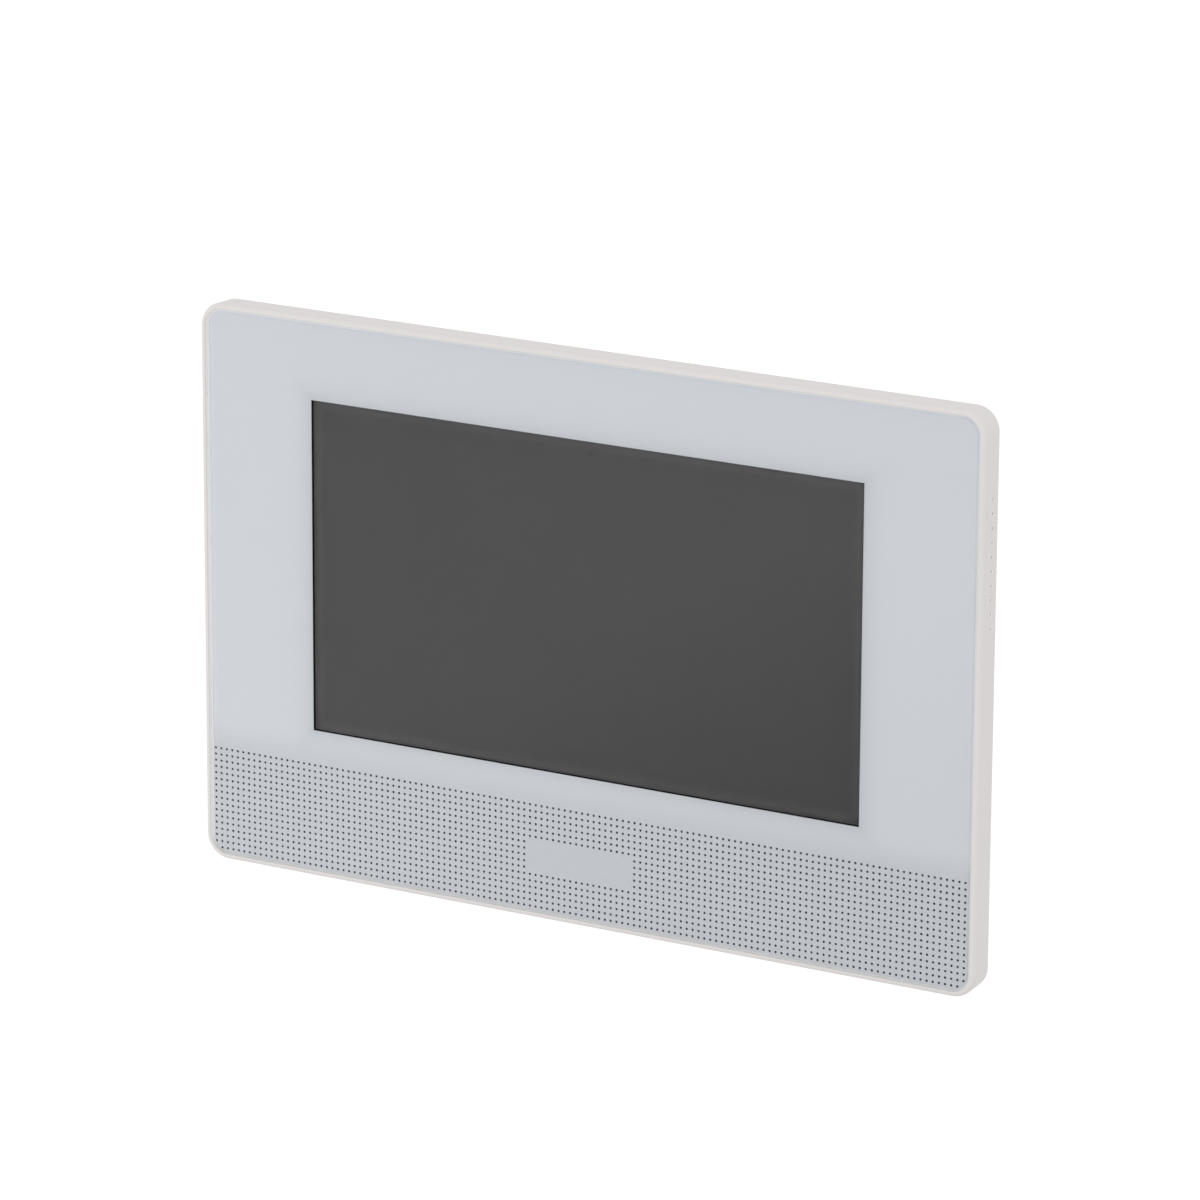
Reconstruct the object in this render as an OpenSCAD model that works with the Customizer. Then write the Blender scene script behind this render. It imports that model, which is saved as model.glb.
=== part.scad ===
// Wall-mounted alarm keypad panel: a touch screen behind a printed cover glass, in a slim front
// housing with an inset rear housing, hung on the hooks of a wall bracket.
//
// Frame: X to the right seen from the front, Y into the wall, Z up. The origin is the centre of the
// bracket's screw pattern on the wall. A depth is measured from the front plane towards the wall.

/* [Panel outline] */
// Width of the front housing
panel_w = 219.3; // [218.5:0.1:240]
// Height of the front housing
panel_h = 145.6; // [144:0.1:160]
// Corner radius of the front housing
panel_r = 6.3; // [5.5:0.1:10]
// Depth of the whole product, from the front plane to the wall
total_depth = 24; // [24:0.1:32]
// Depth of the front housing's side wall
rim_depth = 8; // [8:0.1:11]
// Rounding of the front edge
rim_round = 1.2; // [0.4:0.1:1.2]
// Rounding of the back edge
rim_back_round = 0.6; // [0.2:0.1:0.6]
// How much the side wall draws in towards the back
rim_taper = 0.3; // [0.3:0.1:1.2]
// Thickness of the front housing's side wall
rim_wall = 1.8; // [1.4:0.1:2]
// Width of the plastic ring around the glass
ring_w = 1.35; // [1.2:0.05:2]
// Width of the step at the rim that the rear housing is set in by
rear_inset = 11.2; // [10.8:0.1:12]

/* [Cover glass and screen] */
// Running gap between the cover glass and the ring
glass_gap = 0.3; // [0.2:0.05:0.4]
// Thickness of the cover glass
glass_t = 1.1; // [0.9:0.1:1.1]
// Rounding of the ground glass edge
glass_round = 0.4; // [0.2:0.1:0.6]
// Thickness of the printed border behind the glass
print_t = 0.1; // [0.05:0.01:0.15]
// Width of the clear window
window_w = 154.8; // [150:0.1:155.5]
// Height of the clear window
window_h = 85.7; // [80:0.1:86.5]
// Height of the window's centre above the panel's centre
window_z = 8.45; // [6:0.05:8.5]
// Distance from the print to the face of the display
screen_gap = 1.5; // [1.4:0.05:1.7]
// Thickness of the touch sensor
sensor_t = 0.55; // [0.4:0.05:0.7]
// Thickness of the display cell
cell_t = 1.4; // [1.1:0.1:1.5]
// Thickness of the backlight
backlight_t = 3; // [2.6:0.1:3.1]

/* [Sound outlet] */
// Number of sound holes in the right side wall
sound_holes = 10; // [4:1:10]
// Diameter of each sound hole
sound_hole_d = 1; // [0.8:0.1:1.4]
// Pitch of the sound holes
sound_pitch = 3.53; // [3:0.01:3.6]
// Height of the row's centre above the panel's centre
sound_z = 34.9; // [32:0.1:35.5]
// Travel of the speaker cone each way
cone_travel = 0.3; // [0.1:0.05:0.35]

/* [Housing] */
// Wall thickness of the rear housing
rear_wall = 1.8; // [1.5:0.1:2]
// Diameter of the housing screws' threads
screw_d = 2.5; // [2.2:0.1:2.8]
// Thickness of the chassis plate
chassis_t = 0.8; // [0.6:0.1:0.8]
// Thickness of the main board
board_t = 1.6; // [1.2:0.1:1.6]
// Width of the main board
board_w = 150; // [144:1:156]
// Height of the main board
board_h = 80; // [78:1:82]
// Height of the terminal block above the main board
terminal_t = 6.3; // [5:0.1:6.5]
// Number of wire terminals
terminals = 6; // [2:1:7]

/* [Wall bracket] */
// Width of the bracket plate
bracket_w = 150; // [146:1:154]
// Height of the bracket plate
bracket_h = 96; // [95:1:97]
// Thickness of the bracket plate
bracket_t = 2; // [1.6:0.1:2.4]
// Screw spacing across the wall
screw_span_x = 130; // [126:1:134]
// Screw spacing up the wall
screw_span_z = 80; // [78:1:82]
// Diameter of the wall screw holes
wall_hole_d = 4.5; // [4:0.1:5]
// Spacing of the two slots that suit a wall box
box_span_z = 83.3; // [83:0.1:84]
// Length of each of these slots
box_slot_h = 7; // [5:0.1:8]
// How far the panel lifts to come off the hooks
lift = 6.2; // [5.6:0.1:6.6]

/* [Switches] */
// Travel of the tamper plunger
tamper_travel = 1.2; // [0.6:0.1:1.2]
// Diameter of the tamper plunger
plunger_d = 3; // [2:0.1:3.4]
// Travel of the reset button
reset_travel = 0.3; // [0.1:0.05:0.4]

/* [Hidden] */
$fn = 72;
past = 1;            // how far a cut runs past the face that it opens
seat = 0.3;          // play left around a part that drops into a pocket
run_gap = 0.05;      // radial play of a pin that slides in a bore
bead = 1.05;         // width of a wire's bend, as a share of the wire
screw_play = 0.3;    // how much wider a clearance hole is than its screw
head_over = 2;       // how much wider a screw's head is than its shank
cross_share = 0.8;   // length of a screw's cross recess, as a share of the shank
cross_t = 0.5;       // width of a screw's cross recess
stop_play = 0.15;    // room left where a moving pin bottoms out

// Cover glass, print, touch sensor and tape, from the front
glass_w = panel_w - 2 * (ring_w + glass_gap);
glass_h = panel_h - 2 * (ring_w + glass_gap);
glass_r = panel_r - ring_w - glass_gap;
print_front = glass_t;
print_back = print_front + print_t;
print_margin = 0.2;
sensor_back = print_back + sensor_t;
sensor_border = 4.1;
sensor_w = window_w + 2 * sensor_border;
sensor_h = window_h + 2 * sensor_border;
tape_t = 0.2;
tape_w = 7;
tape_margin = 2;
shelf_front = print_back + tape_t;
shelf_t = 1.8;
shelf_back = shelf_front + shelf_t;

// Display module
sheet_t = 0.3;
display_front = print_back + screen_gap - sheet_t;
cell_front = display_front + sheet_t;
cell_back = cell_front + cell_t;
backlight_back = cell_back + backlight_t;
display_side = 5.15;
display_top = 5.15;
display_foot = 9.15;
display_w = window_w + 2 * display_side;
display_h = window_h + display_top + display_foot;
display_z = window_z + (display_top - display_foot) / 2;
display_bottom = display_z - display_h / 2;
display_border = 1.3;

// Front housing
cavity_w = panel_w - 2 * (rim_taper + rim_wall);
cavity_h = panel_h - 2 * (rim_taper + rim_wall);
cavity_r = panel_r - rim_taper - rim_wall;
rib_t = 0.9;
rib_play = 0.7;
rib_back = shelf_back + 2.8;
flange_t = 1.5;
flange_back = rim_depth;
flange_front = flange_back - flange_t;
boss_d = 6;
screw_x = cavity_w / 2 - 4.45;
screw_z = cavity_h / 2 - 4.55;
screw_places = [for (x = [-1, 0, 1], z = [-1, 1]) [x * screw_x, z * screw_z]];
screw_head_d = screw_d + head_over;
screw_head_t = 0.9;

// Rear housing
rear_w = panel_w - 2 * rear_inset;
rear_h = panel_h - 2 * rear_inset;
rear_r = 8;
rear_round = 1.5;
rear_taper = 0.6;
wall_gap = 1;
rear_back = total_depth - wall_gap;
rear_cavity_w = rear_w - 2 * (rear_taper + rear_wall);
rear_cavity_h = rear_h - 2 * (rear_taper + rear_wall);
rear_cavity_r = rear_r - rear_taper - rear_wall;
bracket_front = total_depth - bracket_t;
hook_room = 2.8;
floor_back = bracket_front - hook_room;
floor_front = floor_back - rear_wall;
recess_play = 0.8;
recess_w = bracket_w + 2 * recess_play;
recess_top = bracket_h / 2 + recess_play;
recess_foot = -bracket_h / 2 - recess_play - lift;
recess_h = recess_top - recess_foot;
recess_z = (recess_top + recess_foot) / 2;
bracket_r = 6;
recess_r = 6;

// Chassis plate behind the display, and the main board on it
pad_t = 0.6;
chassis_front = backlight_back + pad_t;
chassis_back = chassis_front + chassis_t;
chassis_w = rear_cavity_w - 2 * 4;
chassis_top = rear_cavity_h / 2 - 1.95;
chassis_foot = display_bottom + 1;
chassis_h = chassis_top - chassis_foot;
chassis_z = (chassis_top + chassis_foot) / 2;
chassis_screw_x = chassis_w / 2 - 3.4;
chassis_screw_end = 7.5;
screw_length = 4;
chassis_places = [for (x = [-1, 1], z = [chassis_foot + chassis_screw_end, chassis_top - chassis_screw_end])
    [x * chassis_screw_x, z]];
chassis_hole_w = 40;
chassis_hole_h = 22;
chassis_hole_r = 4;
chassis_hole_x = 32;
chassis_hole_z = 20;
pad_w = 8;
pad_side = 12;
pad_end = 8;
standoff_t = 2.5;
board_front = chassis_back + standoff_t;
board_back = board_front + board_t;
board_edge = 4;
board_places = [for (x = [-1, 1], z = [-1, 1])
    [x * (board_w / 2 - board_edge), z * (board_h / 2 - board_edge)]];
board_head_t = 1.4;
standoff_d = 5;

// Ribbons from the display and the touch sensor to the main board
ribbon_t = 0.2;
connector_t = 1.5;
connector_h = 4;
connector_z = -board_h / 2 + 2 + connector_h / 2;
ribbon_depth = board_front - connector_t / 2;
ribbon_drop = 2.9;
display_ribbon_x = 14;
display_ribbon_w = 36;
touch_ribbon_x = -46;
touch_ribbon_w = 12;
connector_side = 2;

// Speaker, held against the right side wall
mesh_t = 0.2;
gasket_t = 0.6;
speaker_w = 13;
speaker_h = 36.8;
speaker_front = shelf_back;
speaker_back = flange_front - 0.1;
speaker_wall = 0.4;
speaker_right = cavity_w / 2 - mesh_t - gasket_t;
speaker_x = speaker_right - speaker_w / 2;
outlet_depth = (speaker_front + speaker_back) / 2;
chamber_front = speaker_front + speaker_wall;
chamber_back = speaker_back - speaker_wall;
chamber_h = speaker_h - 2 * speaker_wall;
cone_w = 8.4;
cone_h = 28;
cone_t = 0.4;
cone_r = 4;
surround_roll = 1.3;
surround_over = 0.1;
surround_w = cone_w + 2 * surround_roll;
surround_x = speaker_right - speaker_w + speaker_wall + surround_w / 2;
magnet_t = 0.8;
magnet_front = chamber_back - magnet_t;
cone_front = magnet_front - cone_travel - seat - cone_t;

// Bracket hooks: a neck that carries the panel and a lip that holds it to the wall
hook_w = 8;
hook_neck = 3;
hook_lip = 4.5;
hook_lip_t = 1.2;
hook_x = 55;
hook_feet = [-32, 26];
hook_play = 0.1;
slot_w = hook_w + 1;
slot_h = hook_neck + lift + seat;

// Parts on the back of the main board
plug_w = 5;
plug_h = 6;
plug_t = 3;
plug_x = board_w / 2 - 7;
plug_z = board_h / 2 - 28;
wire_d = 0.8;
wire_step = 1.8;
wire_rise = 1.6;
wire_bow = 6;
tag_step = 1.6;
tag_z = sound_z - speaker_h / 2 + 4.5;
processor_w = 15;
processor_t = 1.4;
processor_x = -8;
processor_z = board_h / 2 - 23;
memory_w = 9;
memory_h = 12;
memory_t = 1;
memory_x = processor_x - 18;
memory_z = board_h / 2 - 22.5;
memory_step = 15;
radio_w = 18;
radio_h = 26;
radio_t = 0.8;
radio_x = -board_w / 2 + radio_w / 2 + 2;
radio_z = board_h / 2 - 36;
can_w = 14;
can_h = 15;
can_t = 2;
can_z = radio_z - 4;
inductor_w = 7;
inductor_t = 3.4;
inductor_x = board_w / 2 - 63;
inductor_z = board_h / 2 - 13;
inductor_step = 10;
capacitor_d = 5;
capacitor_t = 3.9;
capacitor_x = hook_x - hook_w / 2 - 19;
capacitor_z = board_h / 2 - 8;
capacitor_step = 6.5;
coin_d = 12.5;
coin_t = 2;
coin_x = 37 - board_w / 2;
coin_z = 22 - board_h / 2;
holder_d = coin_d + 3.5;
holder_floor = 0.8;
holder_t = 3.4;
terminal_pitch = 5.08;
terminal_w = terminals * terminal_pitch;
terminal_h = 8;
terminal_z = -12;
terminal_back = board_back + terminal_t;
terminal_screw_d = 2.8;
terminal_screw_z = terminal_z + 0.8;
terminal_well = 3;
terminal_well_d = terminal_screw_d + 0.4;
terminal_sunk = 0.5;
terminal_first = -(terminals - 1) / 2;
wire_hole_d = 2.6;
wire_hole_depth = 5;
wire_hole_wall = 0.4;
driver_slot = 0.5;
driver_depth = 0.6;
bay_w = 64;
bay_top = -5;
bay_foot = -35;

// Tamper switch: its plunger passes the rear housing and the bracket and ends at the wall
tamper_x = 42;
tamper_z = 8;
tamper_body = 9;
tamper_back = floor_front - 0.2;
tamper_lip = 0.8;
collar_d = plunger_d + 3;
collar_t = 0.6;
collar_back = tamper_back - tamper_lip - 0.1;
spring_front = board_back + 0.5;
spring_back = collar_back - collar_t - 0.05;
spring_wire = 0.3;
spring_turns = 2.5;
spring_r = plunger_d / 2 + 0.75;
plunger_front = spring_front + tamper_travel + stop_play;

// Reset switch
reset_x = 25;
reset_z = -12;
reset_body = 4.5;
reset_body_t = 2;
reset_button_d = 2.2;
reset_button_t = 1.6;
reset_well = 1.2;
reset_back = board_back + reset_body_t;

// ---- Shared shapes -------------------------------------------------------------------------

// Rectangle with round corners, centred
module rounded_rect(w, h, r) {
    square([w - 2 * r, h], center = true);
    square([w, h - 2 * r], center = true);
    for (x = [-1, 1], z = [-1, 1])
        translate([x * (w / 2 - r), z * (h / 2 - r)]) circle(r);
}

// Slot with round ends, upright, centred
module upright_slot(w, h) {
    square([w, h - w], center = true);
    for (z = [-1, 1]) translate([0, z * (h - w) / 2]) circle(d = w);
}

// Extrudes a front view from one depth to another
module slab(front, back) {
    translate([0, back - total_depth, 0]) rotate([90, 0, 0]) linear_extrude(back - front) children();
}

// Plate with round corners
module plate(w, h, r, front, back, x = 0, z = 0) {
    slab(front, back) translate([x, z]) rounded_rect(w, h, r);
}

// Block with square corners
module block(w, h, front, back, x = 0, z = 0) {
    translate([x - w / 2, front - total_depth, z - h / 2]) cube([w, back - front, h]);
}

// Round bar along the depth
module bar(d, front, back, x = 0, z = 0) {
    translate([x, front - total_depth, z]) rotate([-90, 0, 0]) cylinder(d = d, h = back - front);
}

// Half section of a moulded edge: reach r, depth d, rounded at the front and at the back
module edge_profile(r, d, front_round, back_round, taper) {
    back_r = r - taper;
    polygon([[0, 0], [r - front_round, 0], [r - front_round, front_round], [r, front_round],
        [back_r, d - back_round], [back_r - back_round, d - back_round], [back_r - back_round, d],
        [0, d]]);
    if (front_round > 0)
        intersection() {
            translate([r - front_round, front_round]) circle(front_round);
            translate([r - front_round, 0]) square(front_round);
        }
    if (back_round > 0)
        intersection() {
            translate([back_r - back_round, d - back_round]) circle(back_round);
            translate([back_r - back_round, d - back_round]) square(back_round);
        }
}

// Moulded block: round corners in the front view, and the edge section above all the way round
module moulded_block(w, h, r, front, back, front_round, back_round, taper) {
    d = back - front;
    flat_w = w - 2 * r;
    flat_h = h - 2 * r;
    translate([0, front - total_depth, 0]) rotate([-90, 0, 0]) {
        translate([-flat_w / 2, -flat_h / 2, 0]) cube([flat_w, flat_h, d]);
        for (side = [[0, flat_w, flat_h], [90, flat_h, flat_w]], turn = [0, 180])
            rotate(side[0] + turn) translate([side[1] / 2, 0, 0]) rotate([90, 0, 0])
                linear_extrude(side[2], center = true)
                    edge_profile(r, d, front_round, back_round, taper);
        for (corner = [[1, 1, 0], [-1, 1, 90], [-1, -1, 180], [1, -1, 270]])
            translate([corner[0] * flat_w / 2, corner[1] * flat_h / 2, 0]) rotate(corner[2])
                rotate_extrude(angle = 90) edge_profile(r, d, front_round, back_round, taper);
    }
}

// Screw with a pan head on a face at depth seat_depth, its shank running towards the front
module rear_screw(place, seat_depth, shank, d, head_t) {
    difference() {
        bar(d + head_over, seat_depth, seat_depth + head_t, place[0], place[1]);
        for (turn = [0, 90])
            translate([place[0], seat_depth + head_t - total_depth, place[1]]) rotate([0, turn, 0])
                cube([d * cross_share, head_t, cross_t], center = true);
    }
    bar(d - 2 * run_gap, seat_depth - shank, seat_depth, place[0], place[1]);
}

// Insulated wire through the given points, with a bead at each bend a little wider than the wire
module wire(points, d) {
    for (p = points) translate(p) sphere(d = bead * d);
    for (i = [0:len(points) - 2]) {
        run = points[i + 1] - points[i];
        translate(points[i]) rotate([0, acos(run[2] / norm(run)), atan2(run[1], run[0])])
            cylinder(d = d, h = norm(run));
    }
}

// Flat ribbon: a side view of [depth, height] corners, extruded across the width
module ribbon(path, t, w, x) {
    half = t / 2;
    translate([x - w / 2, -total_depth, 0]) rotate([90, 0, 90]) linear_extrude(w)
        for (i = [0:len(path) - 2]) {
            low = [min(path[i][0], path[i + 1][0]) - half, min(path[i][1], path[i + 1][1]) - half];
            high = [max(path[i][0], path[i + 1][0]) + half, max(path[i][1], path[i + 1][1]) + half];
            translate(low) square(high - low);
        }
}

// ---- Cover glass and screen ----------------------------------------------------------------

module cover_glass() {
    color([0.80, 0.86, 0.90, 0.4])
        moulded_block(glass_w, glass_h, glass_r, 0, glass_t, glass_round, 0, 0);
}

module border_print() {
    color([0.82, 0.84, 0.86]) difference() {
        plate(glass_w - 2 * print_margin, glass_h - 2 * print_margin, glass_r - print_margin,
            print_front, print_back);
        block(window_w, window_h, print_front - past, print_back + past, 0, window_z);
    }
}

module glass_tape() {
    outer_w = glass_w - 2 * tape_margin;
    outer_h = glass_h - 2 * tape_margin;
    color([0.15, 0.15, 0.16]) difference() {
        plate(outer_w, outer_h, glass_r - tape_margin, print_back, shelf_front);
        block(outer_w - 2 * tape_w, outer_h - 2 * tape_w, print_back - past, shelf_front + past);
    }
}

module touch_sensor() {
    color([0.55, 0.62, 0.62, 0.4])
        block(sensor_w, sensor_h, print_back, sensor_back, 0, window_z);
}

module touch_ribbon() {
    ribbon_front = print_back + sensor_t / 2;
    side_z = display_bottom - rib_play / 2;
    color([0.78, 0.48, 0.16])
        ribbon([[ribbon_front, window_z - sensor_h / 2 - ribbon_t / 2], [ribbon_front, side_z],
            [ribbon_depth, side_z], [ribbon_depth, connector_z - connector_h / 2 - ribbon_t / 2]],
            ribbon_t, touch_ribbon_w, touch_ribbon_x);
}

module screen_gasket() {
    color([0.1, 0.1, 0.1]) difference() {
        block(sensor_w, sensor_h, sensor_back, display_front, 0, window_z);
        block(window_w + 2 * display_border, window_h + 2 * display_border,
            sensor_back - past, display_front + past, 0, window_z);
    }
}

module display_frame() {
    color([0.72, 0.73, 0.74]) difference() {
        block(display_w, display_h, display_front, backlight_back, 0, display_z);
        block(display_w - 2 * sheet_t, display_h - 2 * sheet_t, cell_front, backlight_back + past,
            0, display_z);
        block(window_w + 2 * display_border, window_h + 2 * display_border,
            display_front - past, cell_front + past, 0, window_z);
        block(display_ribbon_w + 2, 2 * past, backlight_back - 1.2, backlight_back + past,
            display_ribbon_x, display_bottom);
    }
}

module display_cell() {
    color([0.13, 0.14, 0.14])
        block(display_w - 2 * sheet_t, display_h - 2 * sheet_t, cell_front, cell_back, 0, display_z);
}

module backlight() {
    color([0.88, 0.88, 0.86])
        block(display_w - 2 * sheet_t, display_h - 2 * sheet_t, cell_back, backlight_back,
            0, display_z);
}

module display_ribbon() {
    start_z = display_bottom + sheet_t - ribbon_t / 2;
    drop_z = display_bottom - ribbon_drop;
    start_depth = backlight_back - 0.5;
    color([0.78, 0.48, 0.16])
        ribbon([[start_depth, start_z], [start_depth, drop_z], [ribbon_depth, drop_z],
            [ribbon_depth, connector_z - connector_h / 2 - ribbon_t / 2]],
            ribbon_t, display_ribbon_w, display_ribbon_x);
}

// ---- Front housing -------------------------------------------------------------------------

module front_housing() {
    opening_w = display_w + 1;
    opening_h = display_h + 1;
    rib_w = display_w + 2 * rib_play;
    rib_h = display_h + 2 * rib_play;
    color([0.89, 0.88, 0.87]) difference() {
        union() {
            difference() {
                moulded_block(panel_w, panel_h, panel_r, 0, rim_depth, rim_round, rim_back_round,
                    rim_taper);
                plate(glass_w + 2 * glass_gap, glass_h + 2 * glass_gap, glass_r + glass_gap,
                    -past, shelf_front);
                plate(cavity_w, cavity_h, cavity_r, shelf_back, rim_depth + past);
            }
            difference() {
                block(rib_w + 2 * rib_t, rib_h + 2 * rib_t, shelf_back - past / 2, rib_back,
                    0, display_z);
                block(rib_w, rib_h, shelf_front, rib_back + past, 0, display_z);
            }
            for (p = screw_places) bar(boss_d, shelf_back - past / 2, flange_front, p[0], p[1]);
            for (p = chassis_places) bar(boss_d, shelf_back - past / 2, chassis_front, p[0], p[1]);
        }
        block(opening_w, opening_h, shelf_front - past, shelf_back + past / 2, 0, display_z);
        for (p = concat(screw_places, chassis_places))
            bar(screw_d, shelf_back - past / 2, rim_depth, p[0], p[1]);
        for (i = [0:sound_holes - 1])
            translate([cavity_w / 2 - past, outlet_depth - total_depth,
                sound_z + (i - (sound_holes - 1) / 2) * sound_pitch])
                rotate([0, 90, 0]) cylinder(d = sound_hole_d, h = rim_wall + rim_taper + 2 * past);
    }
}

// ---- Speaker -------------------------------------------------------------------------------

module sound_mesh() {
    color([0.2, 0.2, 0.2])
        block(mesh_t, speaker_h, speaker_front, speaker_back, cavity_w / 2 - mesh_t / 2, sound_z);
}

module speaker_gasket() {
    gasket_x = speaker_right + gasket_t / 2;
    color([0.12, 0.12, 0.12]) difference() {
        block(gasket_t, speaker_h, speaker_front, speaker_back, gasket_x, sound_z);
        block(gasket_t + 2 * past, chamber_h, chamber_front, chamber_back, gasket_x, sound_z);
    }
}

module speaker_box() {
    color([0.16, 0.16, 0.17]) difference() {
        block(speaker_w, speaker_h, speaker_front, speaker_back, speaker_x, sound_z);
        block(speaker_w, chamber_h, chamber_front, chamber_back, speaker_x + speaker_wall, sound_z);
    }
}

module speaker_magnet() {
    color([0.62, 0.63, 0.65])
        block(cone_w - 1, cone_h - 2, magnet_front, chamber_back, surround_x, sound_z);
}

module speaker_surround() {
    color([0.1, 0.1, 0.1]) difference() {
        block(surround_w, chamber_h, cone_front - surround_over, cone_front + cone_t + surround_over,
            surround_x, sound_z);
        plate(cone_w + 2 * seat, cone_h + 2 * seat, cone_r + seat, cone_front - past,
            cone_front + cone_t + past, surround_x, sound_z);
    }
}

module speaker_cone() {
    color([0.25, 0.25, 0.26])
        plate(cone_w, cone_h, cone_r, cone_front, cone_front + cone_t, surround_x, sound_z);
}

module speaker_wires() {
    corner_x = speaker_right - speaker_w + wire_d;
    plug_y = board_back + wire_rise - total_depth;
    for (side = [0, 1])
        color(side == 0 ? "firebrick" : "black")
            wire([
                [corner_x, speaker_back + bead * wire_d / 2 - total_depth, tag_z + tag_step * side],
                [corner_x, board_back + 1 - total_depth, tag_z - 1 + tag_step * side],
                [board_w / 2 + wire_bow, plug_y, plug_z + 2 + wire_step * side],
                [plug_x + (plug_w + wire_d) / 2, plug_y, plug_z + wire_step * (side - 0.5)]
            ], wire_d);
}

// ---- Chassis and main board ----------------------------------------------------------------

module chassis_pads() {
    color([0.12, 0.12, 0.12])
        for (x = [-1, 1])
            block(pad_w, display_h - 2 * pad_end, backlight_back, chassis_front,
                x * (display_w / 2 - pad_side), display_z);
}

module chassis_plate() {
    color([0.74, 0.75, 0.76]) difference() {
        block(chassis_w, chassis_h, chassis_front, chassis_back, 0, chassis_z);
        for (p = chassis_places)
            bar(screw_d + screw_play, chassis_front - past, chassis_back + past, p[0], p[1]);
        for (x = [-1, 1], z = [-1, 1])
            plate(chassis_hole_w, chassis_hole_h, chassis_hole_r, chassis_front - past,
                chassis_back + past, x * chassis_hole_x, display_z + z * chassis_hole_z);
    }
}

module chassis_screws() {
    color([0.55, 0.56, 0.58])
        for (p = chassis_places) rear_screw(p, chassis_back, screw_length, screw_d, board_head_t);
}

module board_standoffs() {
    color([0.72, 0.6, 0.32])
        for (p = board_places) difference() {
            bar(standoff_d, chassis_back, board_front, p[0], p[1]);
            bar(screw_d, chassis_back - past, board_front + past, p[0], p[1]);
        }
}

module main_board() {
    color([0.05, 0.32, 0.18]) difference() {
        block(board_w, board_h, board_front, board_back);
        for (p = board_places)
            bar(screw_d + screw_play, board_front - past, board_back + past, p[0], p[1]);
    }
}

module board_screws() {
    color([0.55, 0.56, 0.58])
        for (p = board_places)
            rear_screw(p, board_back, board_t + standoff_t - 0.2, screw_d, board_head_t);
}

module ribbon_connectors() {
    color([0.85, 0.83, 0.76]) {
        block(display_ribbon_w + 2 * connector_side, connector_h, board_front - connector_t,
            board_front, display_ribbon_x, connector_z);
        block(touch_ribbon_w + 2 * connector_side, connector_h, board_front - connector_t,
            board_front, touch_ribbon_x, connector_z);
    }
}

module speaker_connector() {
    color([0.9, 0.88, 0.8]) block(plug_w, plug_h, board_back, board_back + plug_t, plug_x, plug_z);
}

module processor() {
    color([0.12, 0.12, 0.13])
        block(processor_w, processor_w, board_back, board_back + processor_t, processor_x,
            processor_z);
}

module memory_chips() {
    color([0.12, 0.12, 0.13])
        for (z = [-1, 1])
            block(memory_w, memory_h, board_back, board_back + memory_t, memory_x,
                memory_z + z * memory_step / 2);
}

module radio_board() {
    color([0.06, 0.2, 0.34])
        block(radio_w, radio_h, board_back, board_back + radio_t, radio_x, radio_z);
}

module radio_can() {
    color([0.78, 0.79, 0.8])
        block(can_w, can_h, board_back + radio_t, board_back + radio_t + can_t, radio_x, can_z);
}

module power_inductors() {
    color([0.25, 0.25, 0.26])
        for (i = [0, 1])
            block(inductor_w, inductor_w, board_back, board_back + inductor_t,
                inductor_x + i * inductor_step, inductor_z);
}

module capacitors() {
    color([0.66, 0.67, 0.7])
        for (i = [0:2])
            bar(capacitor_d, board_back, board_back + capacitor_t,
                capacitor_x + i * capacitor_step, capacitor_z);
}

module cell_holder() {
    color([0.14, 0.14, 0.15]) difference() {
        bar(holder_d, board_back, board_back + holder_t, coin_x, coin_z);
        bar(coin_d + seat, board_back + holder_floor, board_back + holder_t + past, coin_x, coin_z);
    }
}

module clock_cell() {
    color([0.8, 0.8, 0.78])
        bar(coin_d, board_back + holder_floor, board_back + holder_floor + coin_t, coin_x, coin_z);
}

module terminal_block() {
    wire_y = board_back + wire_hole_wall + wire_hole_d / 2 - total_depth;
    color([0.16, 0.42, 0.27]) difference() {
        block(terminal_w, terminal_h, board_back, terminal_back, 0, terminal_z);
        for (i = [0:terminals - 1]) {
            x = (terminal_first + i) * terminal_pitch;
            bar(terminal_well_d, terminal_back - terminal_well, terminal_back + past, x,
                terminal_screw_z);
            translate([x, wire_y, terminal_z - terminal_h / 2 - past])
                cylinder(d = wire_hole_d, h = wire_hole_depth + past);
        }
    }
}

module terminal_screws() {
    screw_back = terminal_back - terminal_sunk;
    color([0.78, 0.79, 0.8])
        for (i = [0:terminals - 1]) {
            x = (terminal_first + i) * terminal_pitch;
            difference() {
                bar(terminal_screw_d, terminal_back - terminal_well, screw_back, x,
                    terminal_screw_z);
                block(driver_slot, terminal_screw_d + past, screw_back - driver_depth,
                    screw_back + past, x, terminal_screw_z);
            }
        }
}

// ---- Switches ------------------------------------------------------------------------------

module tamper_switch() {
    color([0.13, 0.13, 0.14]) difference() {
        block(tamper_body, tamper_body, board_back, tamper_back, tamper_x, tamper_z);
        bar(collar_d + 0.6, spring_front, tamper_back - tamper_lip, tamper_x, tamper_z);
        bar(plunger_d + 2 * run_gap, spring_front, tamper_back + past, tamper_x, tamper_z);
    }
}

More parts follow.
